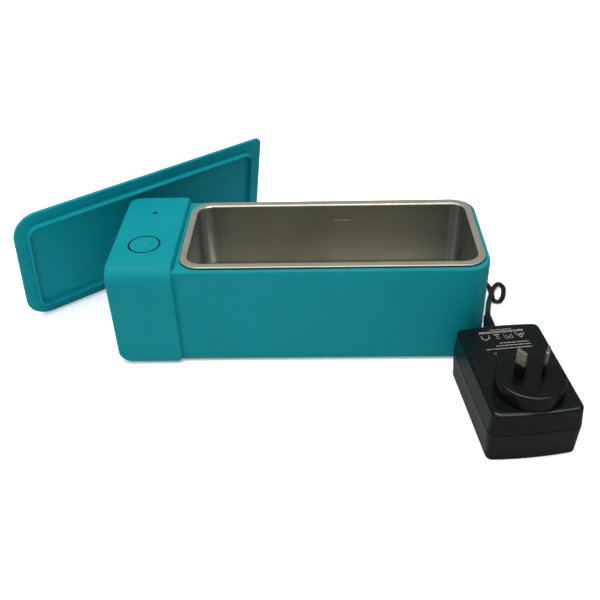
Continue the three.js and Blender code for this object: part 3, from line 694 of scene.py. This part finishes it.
def build_basin():
    """Outside of the bowl and underside of the rim, then over the rim and down the inside."""
    bowl = rect_plan(*BOWL, BOWL_CORNER, 14)
    rim = rect_plan(rim_low.x, rim_low.y, rim_high.x, rim_high.y, RIM_CORNER, 14)
    top = rim_high.z
    under = top - SHEET
    floor = rim_low.z + SHEET
    outer = FLOOR_FILLET + SHEET
    loops = [level(bowl(-SHEET + outer * (1 - s)), floor - SHEET + outer * c) for s, c in quarter(7)]
    bend = RIM_BEND - SHEET
    loops += [level(bowl(-SHEET - bend * c), under - bend + bend * s) for s, c in quarter(4)]
    loops.append(level(rim(0.2), under))
    loops += [level(rim(EDGE_BEND * c), top - EDGE_BEND + EDGE_BEND * s) for s, c in quarter(6)]
    loops += [level(bowl(-RIM_BEND * (1 - s)), top - RIM_BEND * c) for s, c in quarter(8)]
    loops += [level(bowl(FLOOR_FILLET * c), floor + FLOOR_FILLET * (1 - s)) for s, c in quarter(9)]
    tub = lofted("tank_basin_drawn", loops)
    finish_mesh(tub, 50)
    tub.data.materials.append(basin_steel)
    tub.data.materials.append(rim_steel)
    rim_line = ORIGIN.z + (top - 0.55) * MM
    for polygon in tub.data.polygons:
        if all(tub.data.vertices[i].co.z > rim_line for i in polygon.vertices):
            polygon.material_index = 1
    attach(tub, "cleaner")
    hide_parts("tank_basin")


build_basin()


def build_level_mark():
    """Stamped dash on the back wall at the highest filling level."""
    wall = BOWL[3] + 0.05
    x0, x1, z0, z1 = 137, 149, 55, 55.9
    loops = []
    for inset, proud in ((0, 0), (0.3, 0.2)):
        outline = rounded_rect(x0 + inset, z0 + inset, x1 - inset, z1 - inset, 0.3, 4)
        loops.append([(x, wall - proud, z) for x, z in outline])
    settle(lofted("tank_level_mark", loops), basin_steel, "cleaner")


build_level_mark()


def build_gasket():
    low, high = local_box("tank_gasket")
    outer = rect_plan(low.x, low.y, high.x, high.y, RIM_CORNER + 0.35, 14)
    hole = rounded_rect(45.6, 6.1, 224.9, 79.8, 10.5, 14)
    ease = 0.1
    loops = [level(outer(0), low.z), level(outer(0), high.z - ease), level(outer(ease), high.z),
             level(hole, high.z), level(hole, low.z)]
    ring = lofted("tank_gasket_ring", loops, ring=True)
    settle(ring, rubber_seal, "cleaner", "tank_gasket", slot="black_rubber")


build_gasket()


# ---- lid -------------------------------------------------
LID = {"length": 190, "width": 86, "thickness": 2.4, "edge": 0.9, "tank": 16.5, "pod": 5}
LIP = {"pod_end": 8, "tank_end": 7.5, "side": 8.5, "width": 2, "drop": 3.2, "corner": 8, "root": 0.4}
LID_YAW = 38.76
LID_LEAN = 10.5
LID_TURN = (Matrix.Rotation(math.radians(LID_YAW), 4, "Z") @ Matrix.Rotation(math.radians(LID_LEAN), 4, "X")
            @ Matrix.Rotation(math.pi, 4, "Z") @ Matrix.Rotation(math.pi / 2, 4, "X"))


def lid_loops():
    """From the panel inside the lip, over the lip and out round the plate; the underside is z = 0."""
    hx, hy = LID["length"] / 2, LID["width"] / 2
    plan = rect_plan(-hx, -hy, hx, hy, [LID["tank"], LID["tank"], LID["pod"], LID["pod"]], 14)
    lip = rect_plan(-hx + LIP["pod_end"], -hy + LIP["side"], hx - LIP["tank_end"], hy - LIP["side"],
                    LIP["corner"], 14)
    drop, crest, root = -LIP["drop"], LIP["width"] / 2, LIP["root"]

    def well(inset):
        return lip(LIP["width"] + inset)

    loops = [level(well(root * (1 - s)), -root * c) for s, c in quarter(4)]
    loops += [level(well(-crest * c), drop + crest * (1 - s)) for s, c in quarter(5)]
    loops += [level(lip(crest * (1 - s)), drop + crest * c) for s, c in quarter(5)]
    loops += [level(lip(-root * c), -root * (1 - s)) for s, c in quarter(4)]
    return loops + stack(plan, 0, LID["thickness"], LID["edge"], LID["edge"], 5)


def build_lid():
    """The plate is turned to its leaning place and its box is set on that of the CAD lid."""
    loops = lid_loops()
    low, high = local_box("lid")
    leaning = [LID_TURN @ Vector(p) for loop in loops for p in loop]
    middle = Vector([(min(p[k] for p in leaning) + max(p[k] for p in leaning)) / 2 for k in range(3)])
    place = Matrix.Translation((low + high) / 2 - middle) @ LID_TURN
    settle(lofted("lid_panel", loops, place=place), teal_lid_lightened, "lid", "lid", slot="teal_plastic")


build_lid()


# ---- mains adapter ---------------------------------------
case_low, case_high = local_box("adapter_lower_case")
upper_low, upper_high = local_box("adapter_upper_case")
disc_low, disc_high = local_box("plug_head_disc")
case_middle = local_middle("adapter_lower_case")
towards_head = local_middle("plug_head_disc") - case_middle
CASE_YAW = math.atan2(towards_head.x, -towards_head.y)
CASE = Matrix.Translation((case_middle.x, case_middle.y, 0)) @ Matrix.Rotation(CASE_YAW, 4, "Z")
CASE_WIDTH = 52
CASE_LENGTH = 79.2
CASE_CORNER = 4.4
CASE_BOW = 2.2
CASE_WALL = 2.2
PARTING = case_high.z
SEAM = {"inset": 0.22, "height": 0.3}
COLLAR = {"inner": 0.3, "outer": 0.8, "rise": 0.3, "ease": 0.15, "root": 0.5}
CASE_TOP = upper_high.z - COLLAR["rise"]
CASE_BASE = case_low.z
HEAD_Y = -math.hypot(towards_head.x, towards_head.y)
HEAD_R = (disc_high.x - disc_low.x) / 2
HEAD_TOP = disc_high.z


def curve_to(points, control, end, steps=10):
    """Carries an outline on along a quadratic curve."""
    start = points[-1]
    for k in range(1, steps + 1):
        t = k / steps
        a, b, c = (1 - t) ** 2, 2 * t * (1 - t), t * t
        points.append(tuple(a * start[n] + b * control[n] + c * end[n] for n in (0, 1)))


def case_plan(inset):
    """Straight sides, rounded corners and slightly bowed ends."""
    w, e = CASE_WIDTH / 2 - inset, CASE_LENGTH / 2 - inset
    r, bow = CASE_CORNER - inset, CASE_BOW
    points = [(w, -e + bow + r), (w, e - bow - r)]
    curve_to(points, (w, e - bow * 0.75), (w - r, e - bow * 0.5))
    curve_to(points, (0, e + bow * 0.5), (-w + r, e - bow * 0.5))
    curve_to(points, (-w, e - bow * 0.75), (-w, e - bow - r))
    points.append((-w, -e + bow + r))
    curve_to(points, (-w, -e + bow * 0.75), (-w + r, -e + bow * 0.5))
    curve_to(points, (0, -e - bow * 0.5), (w - r, -e + bow * 0.5))
    curve_to(points, (w, -e + bow * 0.75), (w, -e + bow + r))
    return points[:-1]


RELIEF = {"neck": 4.0, "z0": 11.0, "z1": 21.0, "start": 34.8, "root": 40.0, "tip": 66.0, "shift": 4.3}


def relief_port():
    """Tool for the opening in the back wall that the strain relief leaves by."""
    half = RELIEF["neck"] + GAP
    return box_tool(-half, 31, RELIEF["z0"] - GAP, half, 43, RELIEF["z1"] + GAP, CASE)


def build_lower_case():
    """Cup whose walls draw in towards a rounded bottom rim."""
    draft, rim = 1.0, 1.0
    wall = PARTING - CASE_BASE - rim - SEAM["height"]
    loops = [level(case_plan(draft + rim * (1 - s)), CASE_BASE + rim * c) for s, c in quarter(8)]
    loops += [level(case_plan(draft * (1 - t)), CASE_BASE + rim + wall * t) for t in (0.25, 0.5, 0.75, 1)]
    loops.append(level(case_plan(SEAM["inset"]), PARTING))
    cup = lofted("adapter_case_lower", loops, place=CASE)
    cut(cup, slab(case_plan(CASE_WALL + 1.6), CASE_BASE + CASE_WALL, PARTING + BEYOND, CASE))
    cut(cup, relief_port())
    settle(cup, black_case, "adapter", "adapter_lower_case", slot="black_plastic")


def collar():
    """Low ring on the case round the plug head, as a tool."""
    inner, outer, ease = HEAD_R + COLLAR["inner"], HEAD_R + COLLAR["outer"], COLLAR["ease"]
    root, crest = CASE_TOP - COLLAR["root"], CASE_TOP + COLLAR["rise"]
    profile = [(inner, root), (outer, root), (outer, crest - ease), (outer - ease, crest),
               (inner + ease, crest), (inner, crest - ease)]
    return lofted("tool", [level(circle(0, HEAD_Y, r, 96), z) for r, z in profile], ring=True, place=CASE)


def build_upper_case():
    """Cap with drafted walls, a rounded top rim and the seat of the plug head."""
    z0 = upper_low.z
    z1 = z0 + SEAM["height"]
    draft, rim = 0.9, 2.4
    loops = [level(case_plan(SEAM["inset"]), z0), level(case_plan(0), z1),
             level(case_plan(draft / 2), z1 + (CASE_TOP - rim - z1) / 2)]
    loops += [level(case_plan(draft + rim * c), CASE_TOP - rim + rim * s) for s, c in quarter(10)]
    shell = lofted("adapter_case_upper", loops, place=CASE)
    cut(shell, slab(case_plan(CASE_WALL), z0 - BEYOND, CASE_TOP - CASE_WALL, CASE))
    cut(shell, relief_port())
    join(shell, collar())
    cut(shell, drum(10.3, CASE_TOP - 5, CASE_TOP + 2, "z", 0, HEAD_Y, 64, CASE))
    settle(shell, black_case, "adapter", "adapter_upper_case", slot="black_plastic")


build_lower_case()
build_upper_case()


def printed(points, width):
    """Stroke printed on the top of the case."""
    return ribbon_path("stroke", points, width, CASE_TOP + 0.005, 0.02, CASE)


def dash_row(x0, x1, y, lengths):
    """Row of short strokes with gaps; the lengths repeat until the row is full."""
    strokes, x = [], x0
    while x < x1 - 0.2:
        end = min(x + lengths[len(strokes) % len(lengths)], x1)
        strokes.append(printed([(x, y), (end, y)], 0.6))
        x = end + 0.35
    return strokes


def build_print():
    """Rating plate reduced to plain strokes and empty outline shapes."""
    rows = [(-5.5, 7.1, 33.3, (1.6, 0.9, 2.2)), (-12.7, 13.9, 31.7, (2.4, 1.3, 3.0, 0.9)),
            (-13, 13.4, 30.6, (0.9, 1.8)), (-3.5, 14.1, 20.7, (2.0, 1.1, 2.8)),
            (-6.4, 14.1, 18.3, (1.4, 2.6, 0.9)), (-12.8, 14.1, 15.7, (2.7, 1.2))]
    bars = [([(-4.8, 28.6), (-1.4, 28.6)], 0.8), ([(-3.8, 26.8), (-2.2, 26.8)], 0.4),
            ([(-4.2, 25.2), (-1.8, 25.2)], 0.4), ([(9.8, 27.4), (11.8, 27.4)], 0.9)]
    outlines = [([(-12.4, 28.6), (-7.9, 28.6), (-7.9, 26.0), (-10.2, 24.4), (-12.4, 26.0)], 0.55),
                ([(1.1, 28.7), (5.7, 28.7), (5.7, 24.8), (1.1, 24.8)], 0.35),
                ([(2.4, 27.6), (4.4, 27.6), (4.4, 25.9), (2.4, 25.9)], 0.35),
                ([(8.0, 28.6), (13.6, 28.6), (10.8, 24.5)], 0.8),
                ([(-9.6, 12.4), (-8.0, 12.4), (-8.8, 11.1)], 0.4)]
    marks = [stroke for row in rows for stroke in dash_row(*row)]
    marks += [printed(points, width) for points, width in bars]
    marks += [printed(points + points[:2], width) for points, width in outlines]
    settle(merge("adapter_rating_print", marks), print_grey, "adapter")


build_print()


# ---- plug head -------------------------------------------
PIN = {"width": 6.35, "thickness": 1.63, "length": 17.1, "sleeve": 8.5, "spacing": 13.7, "splay": 30}
PIN_CORE = {"width": 5.3, "thickness": 0.9}


def pin_place(side):
    turn = Matrix.Rotation(math.radians(90 - side * PIN["splay"]), 4, "Z")
    return CASE @ Matrix.Translation((side * PIN["spacing"] / 2, HEAD_Y, 0)) @ turn


def blade(name, width, thickness, z0, z1, side, corner=0.35, tip=0.0):
    """Flat bar with eased edges on one side's pin place; tip tapers its end."""
    plan = rect_plan(-width / 2, -thickness / 2, width / 2, thickness / 2, corner, 4)
    if tip:
        end = [level(plan(tip * c * 0.5), z1 - tip + tip * s) for s, c in quarter(5)]
    else:
        end = [level(plan(0), z1 - 0.1), level(plan(0.1), z1)]
    return lofted(name, [level(plan(0), z0)] + end, place=pin_place(side))


def build_pin(name, side, under):
    """Bare blade on a thinner core, and the insulating jacket round the core's upper part."""
    width, thickness = PIN["width"], PIN["thickness"]
    core, core_thickness = PIN_CORE["width"], PIN_CORE["thickness"]
    sleeve_top = HEAD_TOP + PIN["sleeve"]
    tip = HEAD_TOP + PIN["length"]
    pin = blade(f"{name}_pin_blade", width, thickness, sleeve_top - 0.2, tip, side, 0.3, 0.6)
    join(pin, blade("core", core, core_thickness, under - 1.2, sleeve_top + 0.5, side, 0.2))
    settle(pin, pin_plate, "plug_head", f"{name}_pin", slot="plated_contact")
    jacket = blade(f"{name}_pin_jacket", width + 0.02, thickness + 0.02, under + 0.8, sleeve_top, side)
    cut(jacket, blade("tool", core + 0.2, core_thickness + 0.2, under, sleeve_top + BEYOND, side, 0.2))
    settle(jacket, black_head, "plug_head", f"{name}_pin_sleeve", slot="black_plastic")


def build_head():
    """Round head with an eased rim, a boss down into the case and two slots for the pins."""
    edge, boss_r = 1.3, 10
    under = CASE_TOP + 0.2
    ease = [(HEAD_R - edge * c, HEAD_TOP - edge + edge * s) for s, c in quarter(8)]
    profile = [(0, disc_low.z), (boss_r, disc_low.z), (boss_r, under), (HEAD_R - 0.2, under),
               (HEAD_R, under + 0.2)] + ease + [(0, HEAD_TOP)]
    disc = turned("plug_head_body", profile, 0, HEAD_Y, 112, CASE)
    width, thickness = PIN["width"] + GAP, PIN["thickness"] + GAP
    for side in (-1, 1):
        cut(disc, blade("tool", width, thickness, under - 1.5, HEAD_TOP + BEYOND, side))
    settle(disc, black_head, "plug_head", "plug_head_disc", slot="black_plastic")
    build_pin("active", -1, under)
    build_pin("neutral", 1, under)


build_head()


# ---- strain relief, cord and plug ------------------------
def swept(name, stations, section, place=None):
    """Solid through stations of (centre, right, up, half width, half height) of a closed 2-D section."""
    loops = []
    for centre, right, up, wide, tall in stations:
        loops.append([tuple(centre + right * (u * wide) + up * (v * tall)) for u, v in section])
    return lofted(name, loops, place=place)


def build_relief():
    """Neck in the case wall, a flange outside it and a ribbed boot that tapers and leans to one side."""
    section = rounded_rect(-1, -1, 1, 1, 0.45, 5)
    root, tip = RELIEF["root"], RELIEF["tip"]
    neck, flange, tall = RELIEF["neck"], 5.6, 5.0
    spots = [(RELIEF["start"], neck, tall), (root - 0.1, neck, tall), (root, flange, tall),
             (root + 2.4, flange, tall), (root + 3, 4.9, 4.7)]
    first, ribs, waist = root + 3.4, 8, 0.8
    pitch = (tip - first) / ribs
    for k in range(ribs):
        y = first + k * pitch
        wide, tall = 4.7 - 2.6 * k / ribs, 4.6 - 2.5 * k / ribs
        spots += [(y, wide * waist, tall * waist), (y + 0.5, wide * waist, tall * waist),
                  (y + 0.8, wide, tall), (y + pitch - 0.4, wide * 0.97, tall * 0.97)]
    spots += [(tip - 0.2, 1.9, 1.9), (tip, 1.6, 1.6)]
    middle_z, straight = (RELIEF["z0"] + RELIEF["z1"]) / 2, root + 2.8
    stations = []
    for y, wide, tall in spots:
        lean = RELIEF["shift"] * max(0.0, (y - straight) / (tip - straight))
        stations.append((Vector((lean, y, middle_z)), Vector((1, 0, 0)), Vector((0, 0, 1)), wide, tall))
    boot = swept("adapter_relief_boot", stations, section, CASE)
    settle(boot, cord_skin, "adapter", "adapter_strain_relief", slot="black_rubber", smooth_angle=50)


build_relief()

grip_low, grip_high = local_box("dc_plug_grip")
PLUG_FACE = grip_low.y
PLUG_MIDDLE = local_middle("dc_plug_grip").y
BOOT_END = grip_high.x
cord_low, _ = local_box("dc_cable")
CORD = {"radius": 1.1, "lobe": 0.95, "offset": 0.75, "sides": 20, "samples": 10}
CORD_Z = cord_low.z + CORD["radius"]
CORD_ROUTE = [
    (235.2, 20.6, 16), (236.3, 27, 14.6), (238.2, 35, 12), (241, 46.5, 8.2), (244.6, 58.5, 5),
    (248.2, 69.5, 2.7), (251.8, 77, 0.9), (255, 81, CORD_Z + 0.4), (257.3, 77.5, CORD_Z),
    (256.4, 70.5, CORD_Z), (254.3, 64, CORD_Z), (251.2, 59.8, CORD_Z), (248.2, 60.8, CORD_Z),
    (247.8, 69, CORD_Z), (247, 80, CORD_Z), (240, 92, CORD_Z), (225, 99, CORD_Z), (180, 103, CORD_Z),
    (130, 103, CORD_Z), (95, 101.5, CORD_Z), (82, 100, 0.2), (70, 98, 3.6), (60, 96, 9),
    (BOOT_END + 0.4, PLUG_MIDDLE, JACK_Z),
]
CORD_SPLIT = 17  # point of the route where the two pieces of the cord meet
ADAPTER_BEND = ((235, 22, 8), (248, 58, 8))
PLUG_BEND = ((110, 101, 0), (62, 96, 0))


def between(first, second, t0, t1, t):
    """Point between two others as t goes from t0 to t1; it may lie beyond them."""
    return first * ((t1 - t) / (t1 - t0)) + second * ((t - t0) / (t1 - t0))


def spline(points):
    """Centripetal curve through points, closely sampled."""
    known = [Vector(p) for p in points]
    known = [2 * known[0] - known[1]] + known + [2 * known[-1] - known[-2]]
    out = []
    for i in range(1, len(known) - 2):
        p0, p1, p2, p3 = known[i - 1:i + 3]
        t1 = (p1 - p0).length ** 0.5
        t2 = t1 + (p2 - p1).length ** 0.5
        t3 = t2 + (p3 - p2).length ** 0.5
        for k in range(CORD["samples"]):
            t = t1 + (t2 - t1) * k / CORD["samples"]
            middle = between(p1, p2, t1, t2, t)
            before = between(between(p0, p1, 0, t1, t), middle, 0, t2, t)
            after = between(middle, between(p2, p3, t2, t3, t), t1, t3, t)
            out.append(between(before, after, t1, t2, t))
    out.append(known[-2])
    return out


def cord_piece(name, path):
    """Twin lead: two round conductors side by side, flat side up, following the path."""
    section = []
    for k in range(CORD["sides"]):
        a = 2 * math.pi * k / CORD["sides"]
        x, y = math.cos(a), math.sin(a)
        apart = math.copysign(CORD["offset"], x) * min(1, abs(x) * 3)
        section.append((x * CORD["lobe"] + apart, y * CORD["lobe"]))
    stations = []
    for i, centre in enumerate(path):
        ahead = (path[min(i + 1, len(path) - 1)] - path[max(i - 1, 0)]).normalized()
        right = ahead.cross(Vector((0, 0, 1))).normalized()
        stations.append((centre, right, right.cross(ahead), 1.0, 1.0))
    return swept(name, stations, section)


def build_cord():
    """Two pieces that meet behind the cleaner, one from the adapter and one to the plug."""
    path = spline(CORD_ROUTE)
    split = CORD_SPLIT * CORD["samples"]
    near = cord_piece("dc_cord_adapter_side", path[:split + 1])
    far = cord_piece("dc_cord_plug_side", path[split:])
    bends = ((near, "adapter", "cleaner", ADAPTER_BEND), (far, "cleaner", "dc_plug", PLUG_BEND))
    for piece, first, second, bend in bends:
        finish_mesh(piece, 60, weighted=False)
        piece.data.materials.append(cord_skin)
        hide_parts("dc_cable")
        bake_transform(piece)


build_cord()


def build_grip():
    """Right-angle plug body with a ribbed boot along the housing."""
    plan = rect_plan(JACK_X - 6, PLUG_FACE, JACK_X + 7, PLUG_FACE + 12, 2.5, 8)
    body = lofted("dc_plug_body", stack(plan, JACK_Z - 6, JACK_Z + 6, 1.2, 1.2, 5))
    first, ribs, waist = JACK_X + 8, 5, 0.82
    pitch = (BOOT_END - first) / ribs
    spots = [(JACK_X + 4, 3.8), (first - 0.4, 3.8)]
    for k in range(ribs):
        x, r = first + k * pitch, 3.7 - 1.5 * k / ribs
        spots += [(x, r * waist), (x + 0.6, r * waist), (x + 0.9, r), (x + pitch - 0.4, r)]
    spots.append((BOOT_END, 1.9))
    loops = [[(x, PLUG_MIDDLE + u, JACK_Z + v) for u, v in circle(0, 0, r, 32)] for x, r in spots]
    join(body, lofted("tool", loops))
    cut(body, drum(2.95, PLUG_FACE - BEYOND, PLUG_FACE + 5, "y", JACK_X, JACK_Z, 40))
    settle(body, cord_skin, "dc_plug", "dc_plug_grip", slot="black_rubber")


build_grip()


# ---- CAD pieces that stay: material and bevel width ------
KEPT = (
    (teal_base, 0.3, ["bottom_cover"]),
    (ceramic, 0.2, ["transducer_disc"]),
    (circuit_board, 0.05, ["driver_board", "button_board", "adapter_board"]),
    (ferrite, 0.3, ["driver_transformer", "adapter_transformer"]),
    (winding, 0, ["driver_choke"]),
    (capacitor_blue, 0.4, ["driver_capacitor"]),
    (capacitor_violet, 0.4, ["adapter_input_capacitor", "adapter_output_capacitor"]),
    (component_black, 0.15, ["power_transistor", "switch_plunger", "dc_jack"]),
    (component_black, 0.1, ["tact_switch"]),
    (aluminium, 0.12, ["transistor_heatsink"]),
    (nylon, 0.15, ["driver_connector"]),
    (led_lens, 0, ["status_led"]),
    (pipe_painted_shade, 0.1, ["light_pipe"]),
    (nickel, 0.2, ["jack_center_pin"]),
    (nickel, 0.1, ["dc_plug_barrel"]),
    (wire_red, 0, ["transducer_wire_live", "jack_wire_positive"]),
    (wire_black, 0, ["transducer_wire_return", "jack_wire_negative"]),
    (ribbon_grey, 0, ["button_ribbon"]),
    (screw_steel, 0.15, [f"bottom_screw_{n}" for n in (1, 2, 3, 4)]),
    (screw_steel, 0.15, [f"{board}_screw_{n}" for board in ("driver_board", "button_board") for n in (1, 2)]),
    (rubber_seal, 0, [f"foot_{y}_{x}" for y in ("front", "back") for x in ("left", "right")]),
)


def dress(node, look, bevel_width):
    """Gives a CAD node its material and eases its edges."""
    node.data.materials.clear()
    node.data.materials.append(look)
    weld = node.modifiers.new("weld", "WELD")
    weld.merge_threshold = WELD_REACH
    if bevel_width:
        bevel = node.modifiers.new("softened", "BEVEL")
        bevel.width = bevel_width * MM
        bevel.segments = 2
        bevel.limit_method = "ANGLE"
        bevel.angle_limit = math.radians(40)


for look, bevel_width, names in KEPT:
    for name in names:
        dress(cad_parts[name], look, bevel_width)


# ---- floor, lights and camera ----------------------------
def stage_floor():
    """Pale floor: darker in reflections, and glowing a little towards the camera far from the object."""
    half = 12.0
    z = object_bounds()[0].z - 0.02 * MM
    mesh = bpy.data.meshes.new("floor")
    edge = [(-half, -half, z), (half, -half, z), (half, half, z), (-half, half, z)]
    mesh.from_pydata(edge, [], [(0, 1, 2, 3)])
    look = Finish("floor_look", (250, 250, 250), 0.6, specular=0.2)
    look.feed("Roughness", look.span(look.noise(30, 2), 0.55, 0.65))
    path = look.nodes.new("ShaderNodeLightPath").outputs
    tone = look.blend_colour(path["Is Glossy Ray"], (250, 250, 250), (128, 130, 130))
    look.feed("Base Color", tone)
    reach = look.nodes.new("ShaderNodeVectorMath")
    reach.operation = "LENGTH"
    look.links.new(look.place, reach.inputs[0])
    glow = look.span(reach.outputs["Value"], 0.3, 0.75, (0.5, 2.2))
    look.feed("Emission Strength", look.maths("MULTIPLY", glow, path["Is Camera Ray"]))
    look.main.inputs["Emission Color"].default_value = (1, 1, 1, 1)
    mesh.materials.append(look.material)
    linked("floor", mesh)


stage_floor()


def area_light(name, place, target, size, power):
    """White light from a rectangle at a place, facing a target; sizes in metres, power in watts."""
    light = bpy.data.lights.new(name, "AREA")
    light.shape = "RECTANGLE"
    light.size, light.size_y = size
    light.energy = power
    lamp = linked(name, light)
    lamp.location = place
    lamp.rotation_mode = "QUATERNION"
    lamp.rotation_quaternion = (Vector(target) - Vector(place)).to_track_quat("-Z", "Y")
    return lamp


area_light("overhead", (-0.1, -0.15, 1.2), (0, 0, 0), (1.0, 0.8), 15)
area_light("front_fill", (-0.9, -0.9, 0.6), (0, 0, 0.03), (0.8, 0.6), 1)
edge_light = area_light("edge_light", (0.48, -0.74, 0.85), (0.13, -0.1, 0.03), (0.9, 0.5), 6)
edge_light.visible_diffuse = False


def soft_world():
    """Even surroundings, brighter overhead; dimmer in reflections and white to the camera."""
    world = bpy.data.worlds.new("studio")
    bpy.context.scene.world = world
    world.use_nodes = True
    sky = Graph(world.node_tree)
    path = sky.nodes.new("ShaderNodeLightPath").outputs
    upward = sky.span(sky.split(sky.coordinate("Generated"), "Z"), 0.42, 0.8, (0.5, 1.0))
    mirrored = sky.span(path["Is Glossy Ray"], 1.0, 0.42, (0, 1))
    strength = sky.maths("ADD", sky.maths("MULTIPLY", upward, mirrored), path["Is Camera Ray"])
    background = sky.nodes["Background"].inputs
    background["Color"].default_value = (0.96, 0.98, 1.0, 1.0)
    sky.links.new(strength, background["Strength"])


soft_world()

CAMERA_SPOT = Vector((131.25, -386.3, 322.25))
CAMERA_RIGHT = Vector((0.99943, 0.02025, -0.02704))
CAMERA_UP = Vector((0.01017, 0.58290, 0.81248))
CAMERA_LENS = 47.35
SENSOR = 36


def place_camera():
    data = bpy.data.cameras.new("camera")
    camera = linked("camera", data)
    back = CAMERA_RIGHT.cross(CAMERA_UP).normalized()
    up = back.cross(CAMERA_RIGHT).normalized()
    turn = Matrix((CAMERA_RIGHT.normalized(), up, back)).transposed().to_4x4()
    camera.matrix_world = Matrix.Translation(ORIGIN + CAMERA_SPOT * MM) @ turn
    data.lens = CAMERA_LENS
    data.sensor_width = SENSOR
    data.clip_start = 0.01
    bpy.context.scene.camera = camera


place_camera()
bpy.context.scene.view_settings.view_transform = "Standard"
